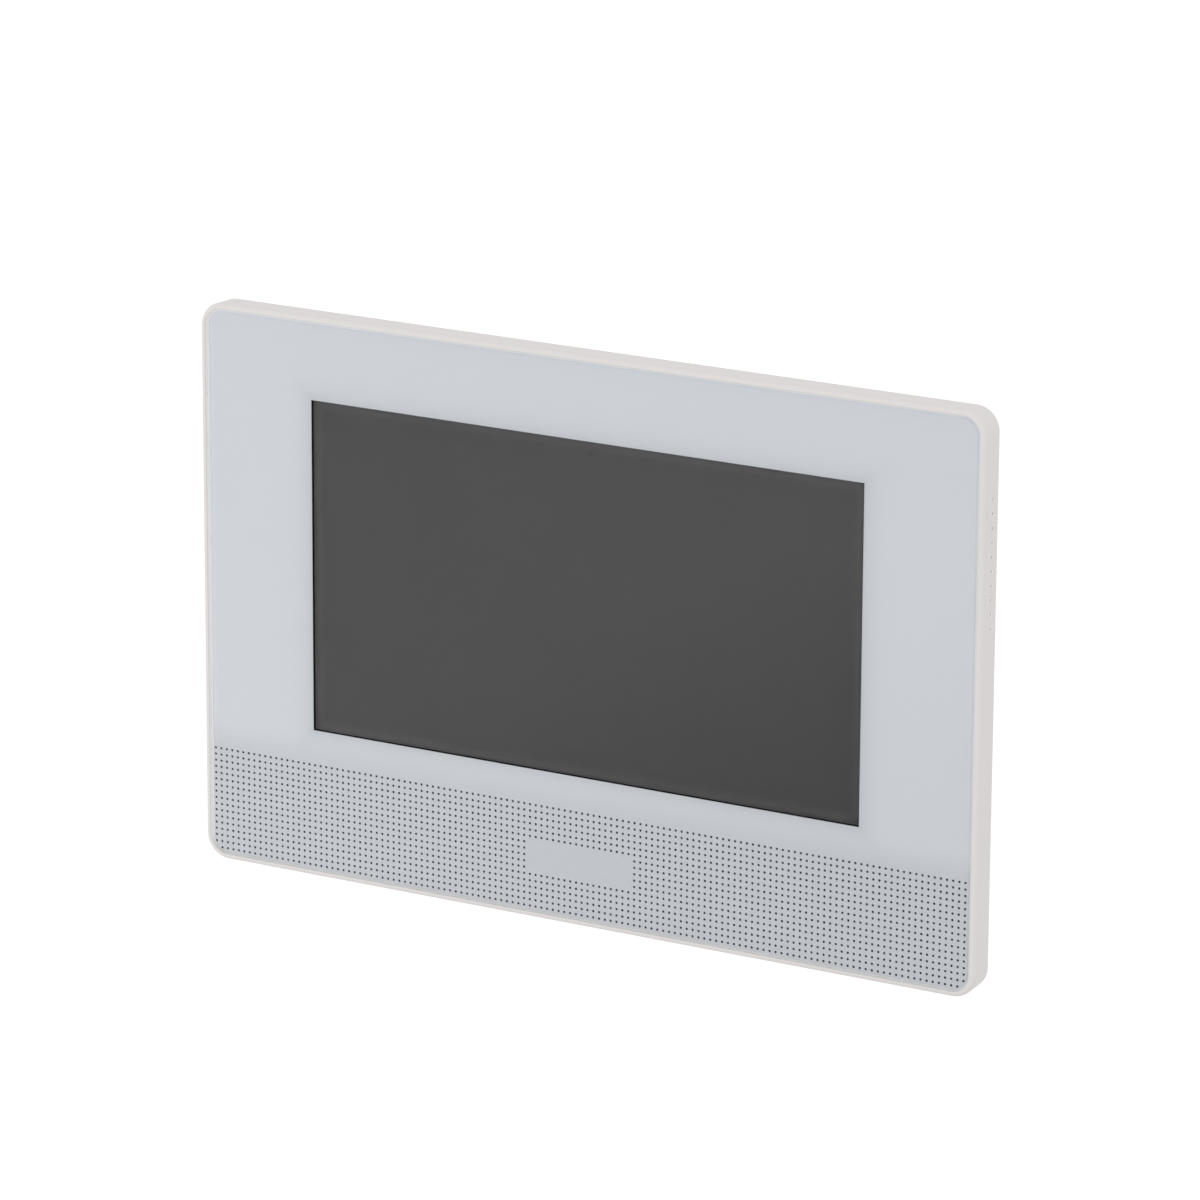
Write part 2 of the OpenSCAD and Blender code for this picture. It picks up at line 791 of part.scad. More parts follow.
// Coil spring wound round the plunger, as a swept wire with round section
module tamper_spring() {
    sides = 8;
    steps = 16;
    low = spring_front + spring_wire / 2;
    rise = (spring_back - spring_wire - spring_front) / spring_turns;
    rings = spring_turns * steps;
    points = [for (i = [0:rings], s = [0:sides - 1])
        let (turn = i / steps, a = 360 * s / sides, r = spring_r + spring_wire / 2 * cos(a))
        [r * cos(360 * turn), r * sin(360 * turn), rise * turn + spring_wire / 2 * sin(a)]];
    walls = [for (i = [0:rings - 1], s = [0:sides - 1])
        let (next = (s + 1) % sides)
        [i * sides + s, i * sides + next, (i + 1) * sides + next, (i + 1) * sides + s]];
    color([0.7, 0.71, 0.73]) translate([tamper_x, low - total_depth, tamper_z]) rotate([-90, 0, 0])
        polyhedron(points, concat(walls, [[for (s = [sides - 1:-1:0]) s],
            [for (s = [0:sides - 1]) rings * sides + s]]));
}

module tamper_plunger() {
    color([0.9, 0.9, 0.88]) {
        bar(plunger_d, plunger_front, total_depth, tamper_x, tamper_z);
        bar(collar_d, collar_back - collar_t, collar_back, tamper_x, tamper_z);
    }
}

module reset_switch() {
    color([0.7, 0.7, 0.7]) difference() {
        block(reset_body, reset_body, board_back, reset_back, reset_x, reset_z);
        bar(reset_button_d + 2 * run_gap, reset_back - reset_well, reset_back + past,
            reset_x, reset_z);
    }
}

module reset_button() {
    color([0.1, 0.1, 0.1])
        bar(reset_button_d, reset_back - reset_well + reset_travel + stop_play,
            reset_back + reset_button_t, reset_x, reset_z);
}

// ---- Rear housing and bracket --------------------------------------------------------------

module rear_housing() {
    vent_w = 2;
    vents = 10;
    vent_front = flange_back + 3;
    vent_back = flange_back + 8;
    color([0.87, 0.87, 0.86]) difference() {
        union() {
            difference() {
                union() {
                    moulded_block(rear_w, rear_h, rear_r, flange_front, rear_back, 0, rear_round,
                        rear_taper);
                    plate(cavity_w - 2 * seat, cavity_h - 2 * seat, cavity_r - seat,
                        flange_front, flange_back);
                }
                plate(rear_cavity_w, rear_cavity_h, rear_cavity_r, flange_front - past,
                    rear_back - rear_wall);
            }
            plate(recess_w + 2 * rear_wall, recess_h + 2 * rear_wall, recess_r + rear_wall,
                floor_front, rear_back - rear_wall / 2, 0, recess_z);
        }
        plate(recess_w, recess_h, recess_r, floor_back, rear_back + past, 0, recess_z);
        block(bay_w, bay_top - bay_foot, floor_front - past, floor_back + past, 0,
            (bay_top + bay_foot) / 2);
        for (x = [-1, 1], foot = hook_feet)
            block(slot_w, slot_h, floor_front - past, floor_back + past, x * hook_x,
                foot + hook_neck + hook_play - slot_h / 2);
        bar(plunger_d + 2 * seat, floor_front - past, floor_back + past, tamper_x, tamper_z);
        for (p = screw_places) {
            bar(screw_d + screw_play, flange_front - past, flange_back + past, p[0], p[1]);
            bar(screw_head_d + 2 * seat, flange_back - screw_head_t, flange_back + past, p[0], p[1]);
        }
        for (i = [0:vents - 1], z = [-1, 1])
            block(vent_w, 2 * rear_r, vent_front, vent_back, (i - (vents - 1) / 2) * 3 * vent_w,
                z * rear_h / 2);
    }
}

module housing_screws() {
    color([0.55, 0.56, 0.58])
        for (p = screw_places)
            rear_screw(p, flange_back - screw_head_t, screw_length, screw_d, screw_head_t);
}

module wall_bracket() {
    border_w = 2;
    border_t = 1;
    lip_back = floor_front - seat;
    lip_front = lip_back - hook_lip_t;
    color([0.83, 0.83, 0.82]) difference() {
        union() {
            plate(bracket_w, bracket_h, bracket_r, bracket_front, total_depth);
            difference() {
                plate(bracket_w, bracket_h, bracket_r, bracket_front - border_t,
                    bracket_front + border_t);
                plate(bracket_w - 2 * border_w, bracket_h - 2 * border_w, bracket_r - border_w,
                    bracket_front - border_t - past, bracket_front + border_t / 2);
            }
            for (x = [-1, 1], foot = hook_feet) {
                block(hook_w, hook_neck, lip_front, bracket_front + border_t / 2, x * hook_x,
                    foot + hook_neck / 2);
                block(hook_w, hook_neck + hook_lip, lip_front, lip_back, x * hook_x,
                    foot + (hook_neck + hook_lip) / 2);
            }
        }
        block(bay_w + 2, bay_top - bay_foot, bracket_front - past, total_depth + past, 0,
            (bay_top + bay_foot) / 2 + 1);
        for (x = [-1, 1], z = [-1, 1])
            bar(wall_hole_d, bracket_front - past, total_depth + past, x * screw_span_x / 2,
                z * screw_span_z / 2);
        slab(bracket_front - past, total_depth + past) {
            for (z = [-1, 1])
                translate([0, z * box_span_z / 2]) upright_slot(wall_hole_d, box_slot_h);
            translate([tamper_x, tamper_z + lift / 2])
                upright_slot(plunger_d + 2, plunger_d + 2 + lift);
        }
    }
}

cover_glass();
border_print();
glass_tape();
touch_sensor();
touch_ribbon();
screen_gasket();
display_frame();
display_cell();
backlight();
display_ribbon();
front_housing();
sound_mesh();
speaker_gasket();
speaker_box();
speaker_magnet();
speaker_surround();
speaker_cone();
speaker_wires();
chassis_pads();
chassis_plate();
chassis_screws();
board_standoffs();
main_board();
board_screws();
ribbon_connectors();
speaker_connector();
processor();
memory_chips();
radio_board();
radio_can();
power_inductors();
capacitors();
cell_holder();
clock_cell();
terminal_block();
terminal_screws();
tamper_switch();
tamper_spring();
tamper_plunger();
reset_switch();
reset_button();
rear_housing();
housing_screws();
wall_bracket();
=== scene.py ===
"""Dresses the alarm keypad panel: a finish for every part, the cover glass with its printed dots,
the small parts on the main board, and a plain studio around it. Lengths are in metres."""

import math
import random

import bpy
from bpy.props import FloatProperty, FloatVectorProperty, IntProperty, PointerProperty
from mathutils import Matrix, Vector


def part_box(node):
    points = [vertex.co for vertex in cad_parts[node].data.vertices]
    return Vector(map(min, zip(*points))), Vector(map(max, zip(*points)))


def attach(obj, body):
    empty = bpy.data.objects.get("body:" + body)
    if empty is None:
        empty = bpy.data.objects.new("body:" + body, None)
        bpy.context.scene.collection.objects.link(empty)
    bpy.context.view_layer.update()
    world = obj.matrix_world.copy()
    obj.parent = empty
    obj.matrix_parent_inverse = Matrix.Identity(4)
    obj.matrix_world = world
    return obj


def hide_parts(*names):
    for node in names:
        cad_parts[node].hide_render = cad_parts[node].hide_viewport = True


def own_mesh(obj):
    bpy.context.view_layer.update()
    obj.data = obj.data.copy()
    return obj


bl_info = {
    "name": "Alarm keypad panel",
    "version": (1, 0, 0),
    "blender": (4, 5, 0),
    "location": "3D View > Sidebar > Keypad panel",
    "description": "Finishes, printed dots, board parts and studio for the alarm keypad panel",
    "category": "Object",
}

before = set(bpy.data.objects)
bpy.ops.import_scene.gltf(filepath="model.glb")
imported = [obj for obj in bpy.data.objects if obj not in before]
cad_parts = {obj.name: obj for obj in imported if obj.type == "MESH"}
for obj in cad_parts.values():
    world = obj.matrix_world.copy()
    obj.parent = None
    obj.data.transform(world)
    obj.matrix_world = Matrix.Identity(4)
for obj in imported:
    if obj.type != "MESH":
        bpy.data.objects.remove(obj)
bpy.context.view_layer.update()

MM = 0.001
GLASS_LOW, GLASS_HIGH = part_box("cover_glass")
FRONT = GLASS_LOW.y  # the front plane
SENSOR_BORDER = 4.1 * MM  # how far the touch sensor reaches past the window on every side
SIDE_TRIM = 0.15 * MM  # how far the glass's sides stand inside the solid glass
HEAD_GROWTH = 0.20 * MM  # how far its top and foot stand outside it
GLASS_CORNER = 4.65 * MM
CORNER_STEPS = 16
MIRROR = 0.0  # of plain glass's reflection seen straight on, for its coated front
RING_GAP = 0.3 * MM  # room from the solid glass to the housing's ring
SHADE_FALL_SLOPE = 2.0  # how much more a painted shade falls downwards than to the right
METAL = {"Metallic": 1.0}
LACQUER = {"Coat_Weight": 0.5, "Coat_Roughness": 0.15}
FILM = {"Coat_Weight": 0.4, "Coat_Roughness": 0.1}
SOFT_GLOSS = {"Specular_IOR_Level": 0.4}


def srgb(red, green, blue):
    """Linear colour from 0-255 values as a display shows them."""
    shares = [c / 255 for c in (red, green, blue)]
    return tuple(c / 12.92 if c <= 0.04045 else ((c + 0.055) / 1.055) ** 2.4 for c in shares)


def window_edges():
    """Left, right, lower and upper edge of the clear window."""
    low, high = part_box("touch_sensor")
    inset = SENSOR_BORDER
    return low.x + inset, high.x - inset, low.z + inset, high.z - inset


# ---- Settings --------------------


def number(name, description, default, low, high, **more):
    return FloatProperty(
        name=name, description=description, default=default, min=low, max=high, **more
    )


def length(name, description, default, low, high):
    """A length setting, given in millimetres."""
    limits = (default * MM, low * MM, high * MM)
    return number(name, description, *limits, unit="LENGTH", precision=5)


def share(name, description, default):
    return number(name, description, default, 0, 1, subtype="FACTOR")


def degrees(name, description, default):
    """An angle setting, given in degrees."""
    turn = math.radians(default)
    return FloatProperty(name=name, description=description, default=turn, subtype="ANGLE")


def whole(name, description, default, low, high):
    return IntProperty(name=name, description=description, default=default, min=low, max=high)


def colour(name, description, default):
    return FloatVectorProperty(
        name=name, description=description, default=default, size=3, min=0, max=1, subtype="COLOR"
    )


class GlassSettings(bpy.types.PropertyGroup):
    print_colour: colour(
        "Print", "Colour of the border printed behind the glass", (0.590, 0.607, 0.645)
    )
    edge_colour: colour("Painted edge", "Colour of the glass's painted edge", (0.80, 0.80, 0.80))
    edge_round: length("Edge rounding", "Rounding of the polished front edge", 0.15, 0.1, 0.6)
    bead_depth: length(
        "Bead depth", "How far the bead round the glass lies behind its front", 0.12, 0, 0.5
    )
    # Painted shade: the bead's grey stands in for the shade in the seam
    seam_shade_colour: colour("Bead", "Colour of the bead round the glass", (0.66, 0.655, 0.65))
    # Painted light: the print paler towards the glass's edge, most at the left
    painted_edge_light: share("Edge lift", "How much paler the print is towards the glass's edge", 0.16)
    # Painted shade: the print darker downwards from just below the window, over the dots
    painted_field_shade: share("Dot field", "How much darker the print is behind the dots", 0.12)
    # Painted shade: the print darker towards its lower right
    shade_fall: share("Fall", "How much darker the print is towards its lower right", 0.035)
    print_gap: length(
        "Print gap", "Room between the glass and the print for the dots", 0.03, 0.01, 0.1
    )
    ior: number("IOR", "How strongly the glass bends and mirrors", 1.5, 1, 2)


class DotSettings(bpy.types.PropertyGroup):
    columns: whole("Columns", "Dots in a full row", 130, 10, 130)
    rows: whole("Rows", "Rows of dots", 17, 3, 17)
    pitch: length("Pitch", "Distance between neighbouring dots", 1.652, 1.2, 1.66)
    diameter: length("Diameter", "Diameter of a dot", 0.65, 0.2, 1)
    top_row: length("Top row", "Distance from the window's lower edge to the top row", 9.19, 5, 20)
    side_shift: length(
        "Side shift", "How far the dots stand to the right of the middle", -0.22, -1, 1
    )
    gap_columns: whole("Gap columns", "Columns left bare in the middle", 18, 0, 60)
    gap_rows: whole("Gap rows", "Rows left bare in the middle", 5, 0, 11)
    ink: colour("Ink", "Colour of the dots", srgb(37, 41, 49))


class ScreenSettings(bpy.types.PropertyGroup):
    screen_colour: colour("Screen", "Colour of the switched-off display", (0.0905, 0.0880, 0.0888))
    border_colour: colour(
        "Screen border", "Colour of the display's black border", (0.020, 0.020, 0.020)
    )
    border_side: length(
        "Side border shift", "How far the lit area reaches past the window at the sides", 0, -1, 1
    )
    border_foot: length(
        "Lower border shift", "How far the lit area reaches past the window's foot", -0.05, -1, 1
    )
    speck: share("Speck", "Strength of the faint speck near the screen's top", 0.22)
    # Painted light: the screen paler along the window's edge
    painted_rim_light: share("Rim lift", "How much paler the screen is along the window", 0.40)
    # Painted shade: the screen darker towards its lower right
    shade_fall: share("Fall", "How much darker the screen is towards its lower right", 0.225)


class HousingSettings(bpy.types.PropertyGroup):
    front_colour: colour("Front housing", "Colour of the front housing", (0.700, 0.672, 0.662))
    rear_colour: colour(
        "Rear housing", "Colour of the rear housing and the bracket", (0.66, 0.65, 0.64)
    )
    grain_depth: length("Grain depth", "Depth of the moulded grain", 0.012, 0, 0.1)


class BoardSettings(bpy.types.PropertyGroup):
    small_parts: whole("Small parts", "Resistors and capacitors on the board", 90, 0, 200)
    seed: whole("Seed", "Seed of the small parts' places", 7, 0, 2**31 - 1)
    mask_colour: colour("Solder mask", "Colour of the board's solder mask", (0.012, 0.085, 0.040))


class StudioSettings(bpy.types.PropertyGroup):
    azimuth: degrees("Azimuth", "Angle of the camera to the right of straight on", 29.75)
    elevation: degrees("Elevation", "Angle of the camera above the horizon", 16.058)
    roll: degrees("Roll", "Turn of the camera about its view", 0.288)
    distance: length("Distance", "Camera to the panel's middle", 1630.22, 300, 5000)
    aim_right: length("Aim right", "How far the camera stands to the right", 5.051, -100, 100)
    aim_up: length("Aim up", "How far the camera stands up", 10.805, -100, 100)
    lens: number("Lens", "Focal length in millimetres on a 36 mm sensor", 200, 20, 400)
    floor_drop: length("Floor", "Height of the panel's middle above the floor", 2200, 500, 3000)
    ambient: number("Ambient", "Level of the even light from all sides", 0.876, 0, 2)


SETTINGS = {
    "keypad_glass": GlassSettings,
    "keypad_dots": DotSettings,
    "keypad_screen": ScreenSettings,
    "keypad_housing": HousingSettings,
    "keypad_board": BoardSettings,
    "keypad_studio": StudioSettings,
}


# ---- Nodes and materials --------------------


def add(tree, kind, settings=None, **inputs):
    """Adds a shader node. An input is given by its socket's name, with _ for a blank."""
    node = tree.nodes.new("ShaderNode" + kind)
    for name, value in (settings or {}).items():
        setattr(node, name, value)
    for name, value in inputs.items():
        feed(node.inputs[name.replace("_", " ")], value)
    return node


def feed(socket, value):
    """Links an output to the socket, or sets the socket's own value."""
    if isinstance(value, bpy.types.NodeSocket):
        socket.id_data.links.new(value, socket)
    else:
        socket.default_value = value


def joined(kind, values, settings=None):
    """The first output of a node that joins other nodes, its inputs given in their order."""
    tree = next(v.id_data for v in values if isinstance(v, bpy.types.NodeSocket))
    node = add(tree, kind, settings)
    for socket, value in zip(node.inputs, values):
        feed(socket, value)
    return node.outputs[0]


def sum_of(operation, first, second=0.0, third=0.0):
    """A Math node's result."""
    return joined("Math", (first, second, third), {"operation": operation})


def product(*values):
    result, *others = values
    for value in others:
        result = sum_of("MULTIPLY", result, value)
    return result


def mixed(amount, first, second):
    """The second shader over the first, by an amount from 0 to 1."""
    return joined("MixShader", (amount, first, second))


def scaled(vector, by):
    """A vector or a colour, times a number."""
    node = add(vector.id_data, "VectorMath", {"operation": "SCALE"}, Vector=vector, Scale=by)
    return node.outputs[0]


def ramp(value, low, high, to_low=0.0, to_high=1.0):
    """A value moved from one range to another, and held inside it."""
    smooth = {"interpolation_type": "SMOOTHSTEP"}
    return joined("MapRange", (value, low, high, to_low, to_high), smooth)


def blended(amount, first, second):
    """One colour over another, by an amount from 0 to 1."""
    node = add(amount.id_data, "Mix", {"data_type": "RGBA"}, Factor=amount)
    feed(node.inputs[6], first)
    feed(node.inputs[7], second)
    return node.outputs[2]


def noise(place, scale, detail=2.0, roughness=0.5):
    values = {"Scale": scale, "Detail": detail, "Roughness": roughness}
    return add(place.id_data, "TexNoise", Vector=place, **values).outputs[0]


def object_place(tree):
    return add(tree, "TexCoord").outputs["Object"]


def place_parts(tree):
    """X, Y and Z of the place on the object."""
    return add(tree, "SeparateXYZ", Vector=object_place(tree)).outputs


def low_right_shade(x, z, start, end, shade_fall):
    """Painted shade: a level that falls from 1 between two marks towards the lower right."""
    place = sum_of("MULTIPLY_ADD", z, -SHADE_FALL_SLOPE, x)
    return ramp(place, start, end, 1.0, 1.0 - shade_fall)


def backdrop_rays(tree):
    """1 where the background is seen: by the camera, in a mirror or through glass."""
    rays = add(tree, "LightPath").outputs
    direct = sum_of("MAXIMUM", rays["Is Camera Ray"], rays["Is Glossy Ray"])
    return sum_of("MAXIMUM", direct, rays["Is Transmission Ray"])


def rgba(values):
    return (*values, 1.0)


FINISH_INPUTS = {
    "Colour": "Color",
    "Variation": "Float",
    "Roughness": "Float",
    "Patch Scale": "Float",
    "Grain Scale": "Float",
}
FINISH_OUTPUTS = {"Colour": "Color", "Roughness": "Float", "Height": "Float"}
ROUGHNESS_SPREAD = 0.12


def finish_tree(name):
    """An empty shader node group with a finish's sockets."""
    tree = bpy.data.node_groups.new(name, "ShaderNodeTree")
    for direction, sockets in (("INPUT", FINISH_INPUTS), ("OUTPUT", FINISH_OUTPUTS)):
        for title, kind in sockets.items():
            kind = "NodeSocket" + kind
            tree.interface.new_socket(title, in_out=direction, socket_type=kind)
    entry = tree.nodes.new("NodeGroupInput")
    leave = tree.nodes.new("NodeGroupOutput")
    return tree, entry.outputs, leave.inputs


def varied(given, shown, patches, grain):
    """Joins a finish group's outputs: patches vary colour and roughness, and grain the height."""
    swing = sum_of("SUBTRACT", patches, 0.5)
    level = sum_of("MULTIPLY_ADD", swing, given["Variation"], 1.0)
    feed(shown["Colour"], scaled(given["Colour"], level))
    rough = sum_of("MULTIPLY_ADD", swing, ROUGHNESS_SPREAD, given["Roughness"])
    feed(shown["Roughness"], rough)
    feed(shown["Height"], grain)


def moulded_group(tree, given, shown):
    """Moulded plastic: soft patches of tone and an even spark-eroded grain."""
    place = object_place(tree)
    patches = noise(place, given["Patch Scale"], 3.0, 0.6)
    fine = noise(place, given["Grain Scale"], 2.0, 0.7)
    coarse = noise(place, product(given["Grain Scale"], 0.35))
    varied(given, shown, patches, sum_of("MULTIPLY_ADD", coarse, 0.5, fine))


def rolled_group(tree, given, shown):
    """Rolled or drawn metal: long faint streaks along X, with a fine tooth across them."""
    place = add(tree, "Mapping", Vector=object_place(tree))
    place.inputs["Scale"].default_value = (0.06, 1.0, 1.0)
    streaks = noise(place.outputs[0], given["Grain Scale"], 3.0, 0.6)
    patches = noise(object_place(tree), given["Patch Scale"], 4.0, 0.6)
    both = sum_of("MULTIPLY_ADD", streaks, 0.6, product(patches, 0.4))
    varied(given, shown, both, streaks)


def foam_group(tree, given, shown):
    """Closed foam or felt: small cells over soft patches."""
    place = object_place(tree)
    cells = add(tree, "TexVoronoi", Vector=place, Scale=given["Grain Scale"])
    patches = noise(place, given["Patch Scale"], 4.0, 0.7)
    varied(given, shown, patches, cells.outputs["Distance"])


def woven_group(tree, given, shown):
    """Fine cloth: threads over and under each other in the side view."""
    parts = place_parts(tree)
    waves = [sum_of("SINE", product(parts[axis], given["Grain Scale"])) for axis in ("Y", "Z")]
    threads = sum_of("MULTIPLY_ADD", product(*waves), 0.5, 0.5)
    varied(given, shown, threads, threads)


def circuit_group(tree, given, shown):
    """Solder mask over copper: tracks and ground copper show through as lighter, raised areas."""
    place = object_place(tree)
    flat = add(tree, "Mapping", Vector=place)
    flat.inputs["Rotation"].default_value = (math.pi / 2, 0, 0)
    tracks = [
        add(
            tree,
            "TexBrick",
            {"offset": offset, "squash": 1.0},
            Vector=flat.outputs[0],
            Scale=given["Grain Scale"],
            Mortar_Size=0.035,
            Mortar_Smooth=0.2,
            Brick_Width=width,
            Row_Height=height,
        ).outputs["Fac"]
        for offset, width, height in ((0.37, 1.9, 0.45), (0.61, 0.7, 1.3))
    ]
    ground = ramp(noise(place, given["Patch Scale"], 1.0), 0.49, 0.51)
    lines = product(sum_of("MAXIMUM", *tracks), ground)
    copper = sum_of("MULTIPLY_ADD", ground, -0.35, 0.35)
    raised = sum_of("MAXIMUM", lines, copper)
    varied(given, shown, raised, raised)


GROUP_MAKERS = {
    "moulded": moulded_group,
    "rolled": rolled_group,
    "foam": foam_group,
    "woven": woven_group,
    "circuit": circuit_group,
}


def finish_group(kind):
    """The shader node group of a finish, built the first time that it is asked for."""
    name = "finish_" + kind
    if name not in bpy.data.node_groups:
        GROUP_MAKERS[kind](*finish_tree(name))
    return bpy.data.node_groups[name]


def new_material(name):
    """An empty material, its node tree and its output node."""
    material = bpy.data.materials.new(name)
    material.use_nodes = True
    tree = material.node_tree
    tree.nodes.clear()
    return material, tree, tree.nodes.new("ShaderNodeOutputMaterial")


def finish(name, kind, tone, roughness, variation, patch, grain, depth, tint=None, **more):
    """A material from one of the finish groups, its grain's depth in millimetres. The shader's
    other sockets are set by name."""
    material, tree, output = new_material(name)
    surface = tree.nodes.new("ShaderNodeGroup")
    surface.node_tree = finish_group(kind)
    values = (rgba(tone), variation, roughness, patch, grain)
    for title, value in zip(FINISH_INPUTS, values):
        surface.inputs[title].default_value = value
    shown = surface.outputs["Colour"]
    if tint:
        shown = tint(tree, shown)
    height = surface.outputs["Height"]
    bump = add(tree, "Bump", Height=height, Distance=depth * MM, Strength=1.0)
    body = add(
        tree,
        "BsdfPrincipled",
        Base_Color=shown,
        Roughness=surface.outputs["Roughness"],
        Normal=bump.outputs[0],
        **more,
    )
    feed(output.inputs["Surface"], body.outputs[0])
    return material


def pane_glass(name, pass_tint, ior):
    """Clear coated glass that bends what is seen through it. Lamps shine straight through, and so
    does a view from inside, because what lies behind is bonded to it."""
    material, tree, output = new_material(name)
    tint = rgba(pass_tint)
    bent = add(
        tree,
        "BsdfPrincipled",
        Base_Color=tint,
        Roughness=0.0,
        IOR=ior,
        Specular_Tint=rgba((MIRROR, MIRROR, MIRROR)),
        Transmission_Weight=1.0,
    ).outputs[0]
    coated = add(tree, "BsdfRefraction", Color=tint, Roughness=0.0, IOR=ior).outputs[0]
    clear = add(tree, "BsdfTransparent", Color=tint).outputs[0]
    rays = add(tree, "LightPath").outputs
    inside = add(tree, "NewGeometry").outputs["Backfacing"]
    light = sum_of("MAXIMUM", rays["Is Shadow Ray"], rays["Is Diffuse Ray"])
    front = mixed(rays["Is Camera Ray"], bent, coated)
    shown = mixed(sum_of("MAXIMUM", light, inside), front, clear)
    feed(output.inputs["Surface"], shown)
    return material


def see_through(name, pass_tint, ior, gloss_roughness):
    """A thin clear material. Its outside mirrors more the flatter it is seen, its inside not."""
    material, tree, output = new_material(name)
    clear = add(tree, "BsdfTransparent", Color=rgba(pass_tint)).outputs[0]
    gloss = add(tree, "BsdfAnisotropic", Roughness=gloss_roughness).outputs[0]
    mirror = add(tree, "Fresnel", IOR=ior).outputs[0]
    inside = add(tree, "NewGeometry").outputs["Backfacing"]
    outside = sum_of("SUBTRACT", 1.0, inside)
    shown = mixed(product(mirror, outside), clear, gloss)
    feed(output.inputs["Surface"], shown)
    return material


def dress(material, *nodes):
    """Gives CAD nodes a material."""
    for name in nodes:
        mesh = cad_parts[name].data
        if not mesh.materials:
            mesh.materials.append(material)
        for i in range(len(mesh.materials)):
            mesh.materials[i] = material


def dress_all(rows):
    """Gives CAD nodes their finishes."""
    for *values, more, nodes in rows:
        dress(finish(*values, **more), *nodes.split())


# ---- Meshes --------------------


def new_object(name, data):
    made = bpy.data.objects.new(name, data)
    bpy.context.scene.collection.objects.link(made)
    return made


def piece(name, points, faces, materials, body, slot, flat, indexes=None):
    """A new mesh object that rides on a body. flat lists the faces without smooth shading."""
    mesh = bpy.data.meshes.new(name)
    mesh.from_pydata(points, [], faces)
    for material in materials:
        mesh.materials.append(material)
    flat = set(flat)
    for i, polygon in enumerate(mesh.polygons):
        polygon.use_smooth = i not in flat
        if indexes:
            polygon.material_index = indexes[i]
    mesh.update()
    made = new_object(name, mesh)
    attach(made, body)
    return made


def circle(radius, sides):
    """Points round a circle, as two distances from its centre."""
    turns = [2 * math.pi * i / sides for i in range(sides)]
    return [(radius * math.cos(a), radius * math.sin(a)) for a in turns]


def rounded_ring(width, height, radius, y):
    """Points round a rectangle with round corners, centred, at the depth y."""
    points = []
    for corner, (sx, sz) in enumerate(((1, 1), (-1, 1), (-1, -1), (1, -1))):
        x, z = sx * (width / 2 - radius), sz * (height / 2 - radius)
        for i in range(CORNER_STEPS + 1):
            a = math.pi / 2 * (corner + i / CORNER_STEPS)
            points.append((x + radius * math.cos(a), y, z + radius * math.sin(a)))
    return points


def joined_rings(rings, closed=False):
    """The points of rings of equally many points, and the faces between each ring and the next.
    A closed skin also joins the last ring to the first."""
    size = len(rings[0])
    sides = [(i, (i + 1) % size) for i in range(size)]
    faces = []
    for level in range(len(rings) if closed else len(rings) - 1):
        here, there = level * size, (level + 1) % len(rings) * size
        faces += [[here + j, here + i, there + i, there + j] for i, j in sides]
    return [p for ring in rings for p in ring], faces


def stacked_rings(rings):
    """A closed skin over rings of equally many points: the first and last ring are capped."""
    points, sides = joined_rings(rings)
    size = len(rings[0])
    return points, [list(range(size)), list(range(len(points) - size, len(points)))[::-1]] + sides


class Solids:
    """Collects closed solids into one mesh, with a material index for each."""

    DISC_SIDES = 12

    def __init__(self):
        self.points, self.faces, self.indexes, self.flat = [], [], [], []

    def add(self, points, faces, index=0, flat=None):
        """Adds a solid. flat lists its faces without smooth shading: all of them if not given."""
        start = len(self.points)
        flat = range(len(faces)) if flat is None else flat
        self.flat += [len(self.faces) + f for f in flat]
        self.points += points
        self.faces += [[start + i for i in face] for face in faces]
        self.indexes += [index] * len(faces)

    def box(self, centre, size, index, chamfer):
        """A box with chamfered edges round its back."""
        (x, y, z), (w, d, h) = centre, size
        cut = min(chamfer, w / 3, h / 3, d / 2)
        rings = []
        for inset, depth in ((0, -d / 2), (0, d / 2 - cut), (cut, d / 2)):
            a, b = w / 2 - inset, h / 2 - inset
            corners = ((-a, -b), (a, -b), (a, b), (-a, b))
            rings.append([(x + sx, y + depth, z + sz) for sx, sz in corners])
        self.add(*stacked_rings(rings), index)

    def disc(self, centre, radius, front, back):
        """A round plate with its axis along Y."""
        x, z = centre
        edge = circle(radius, self.DISC_SIDES)
        rings = [[(x + a, y, z + b) for a, b in edge] for y in (front, back)]
        self.add(*stacked_rings(rings), flat=(0, 1))

    def extrusion(self, outline, offset):
        """A prism: the outline's points, and the same points moved by offset."""
        far = [tuple(a + b for a, b in zip(p, offset)) for p in outline]
        self.add(*stacked_rings([outline, far]))

    def make(self, name, materials, body, slot):
        points, faces = self.points, self.faces
        piece(name, points, faces, materials, body, slot, self.flat, self.indexes)


# ---- Cover glass --------------------


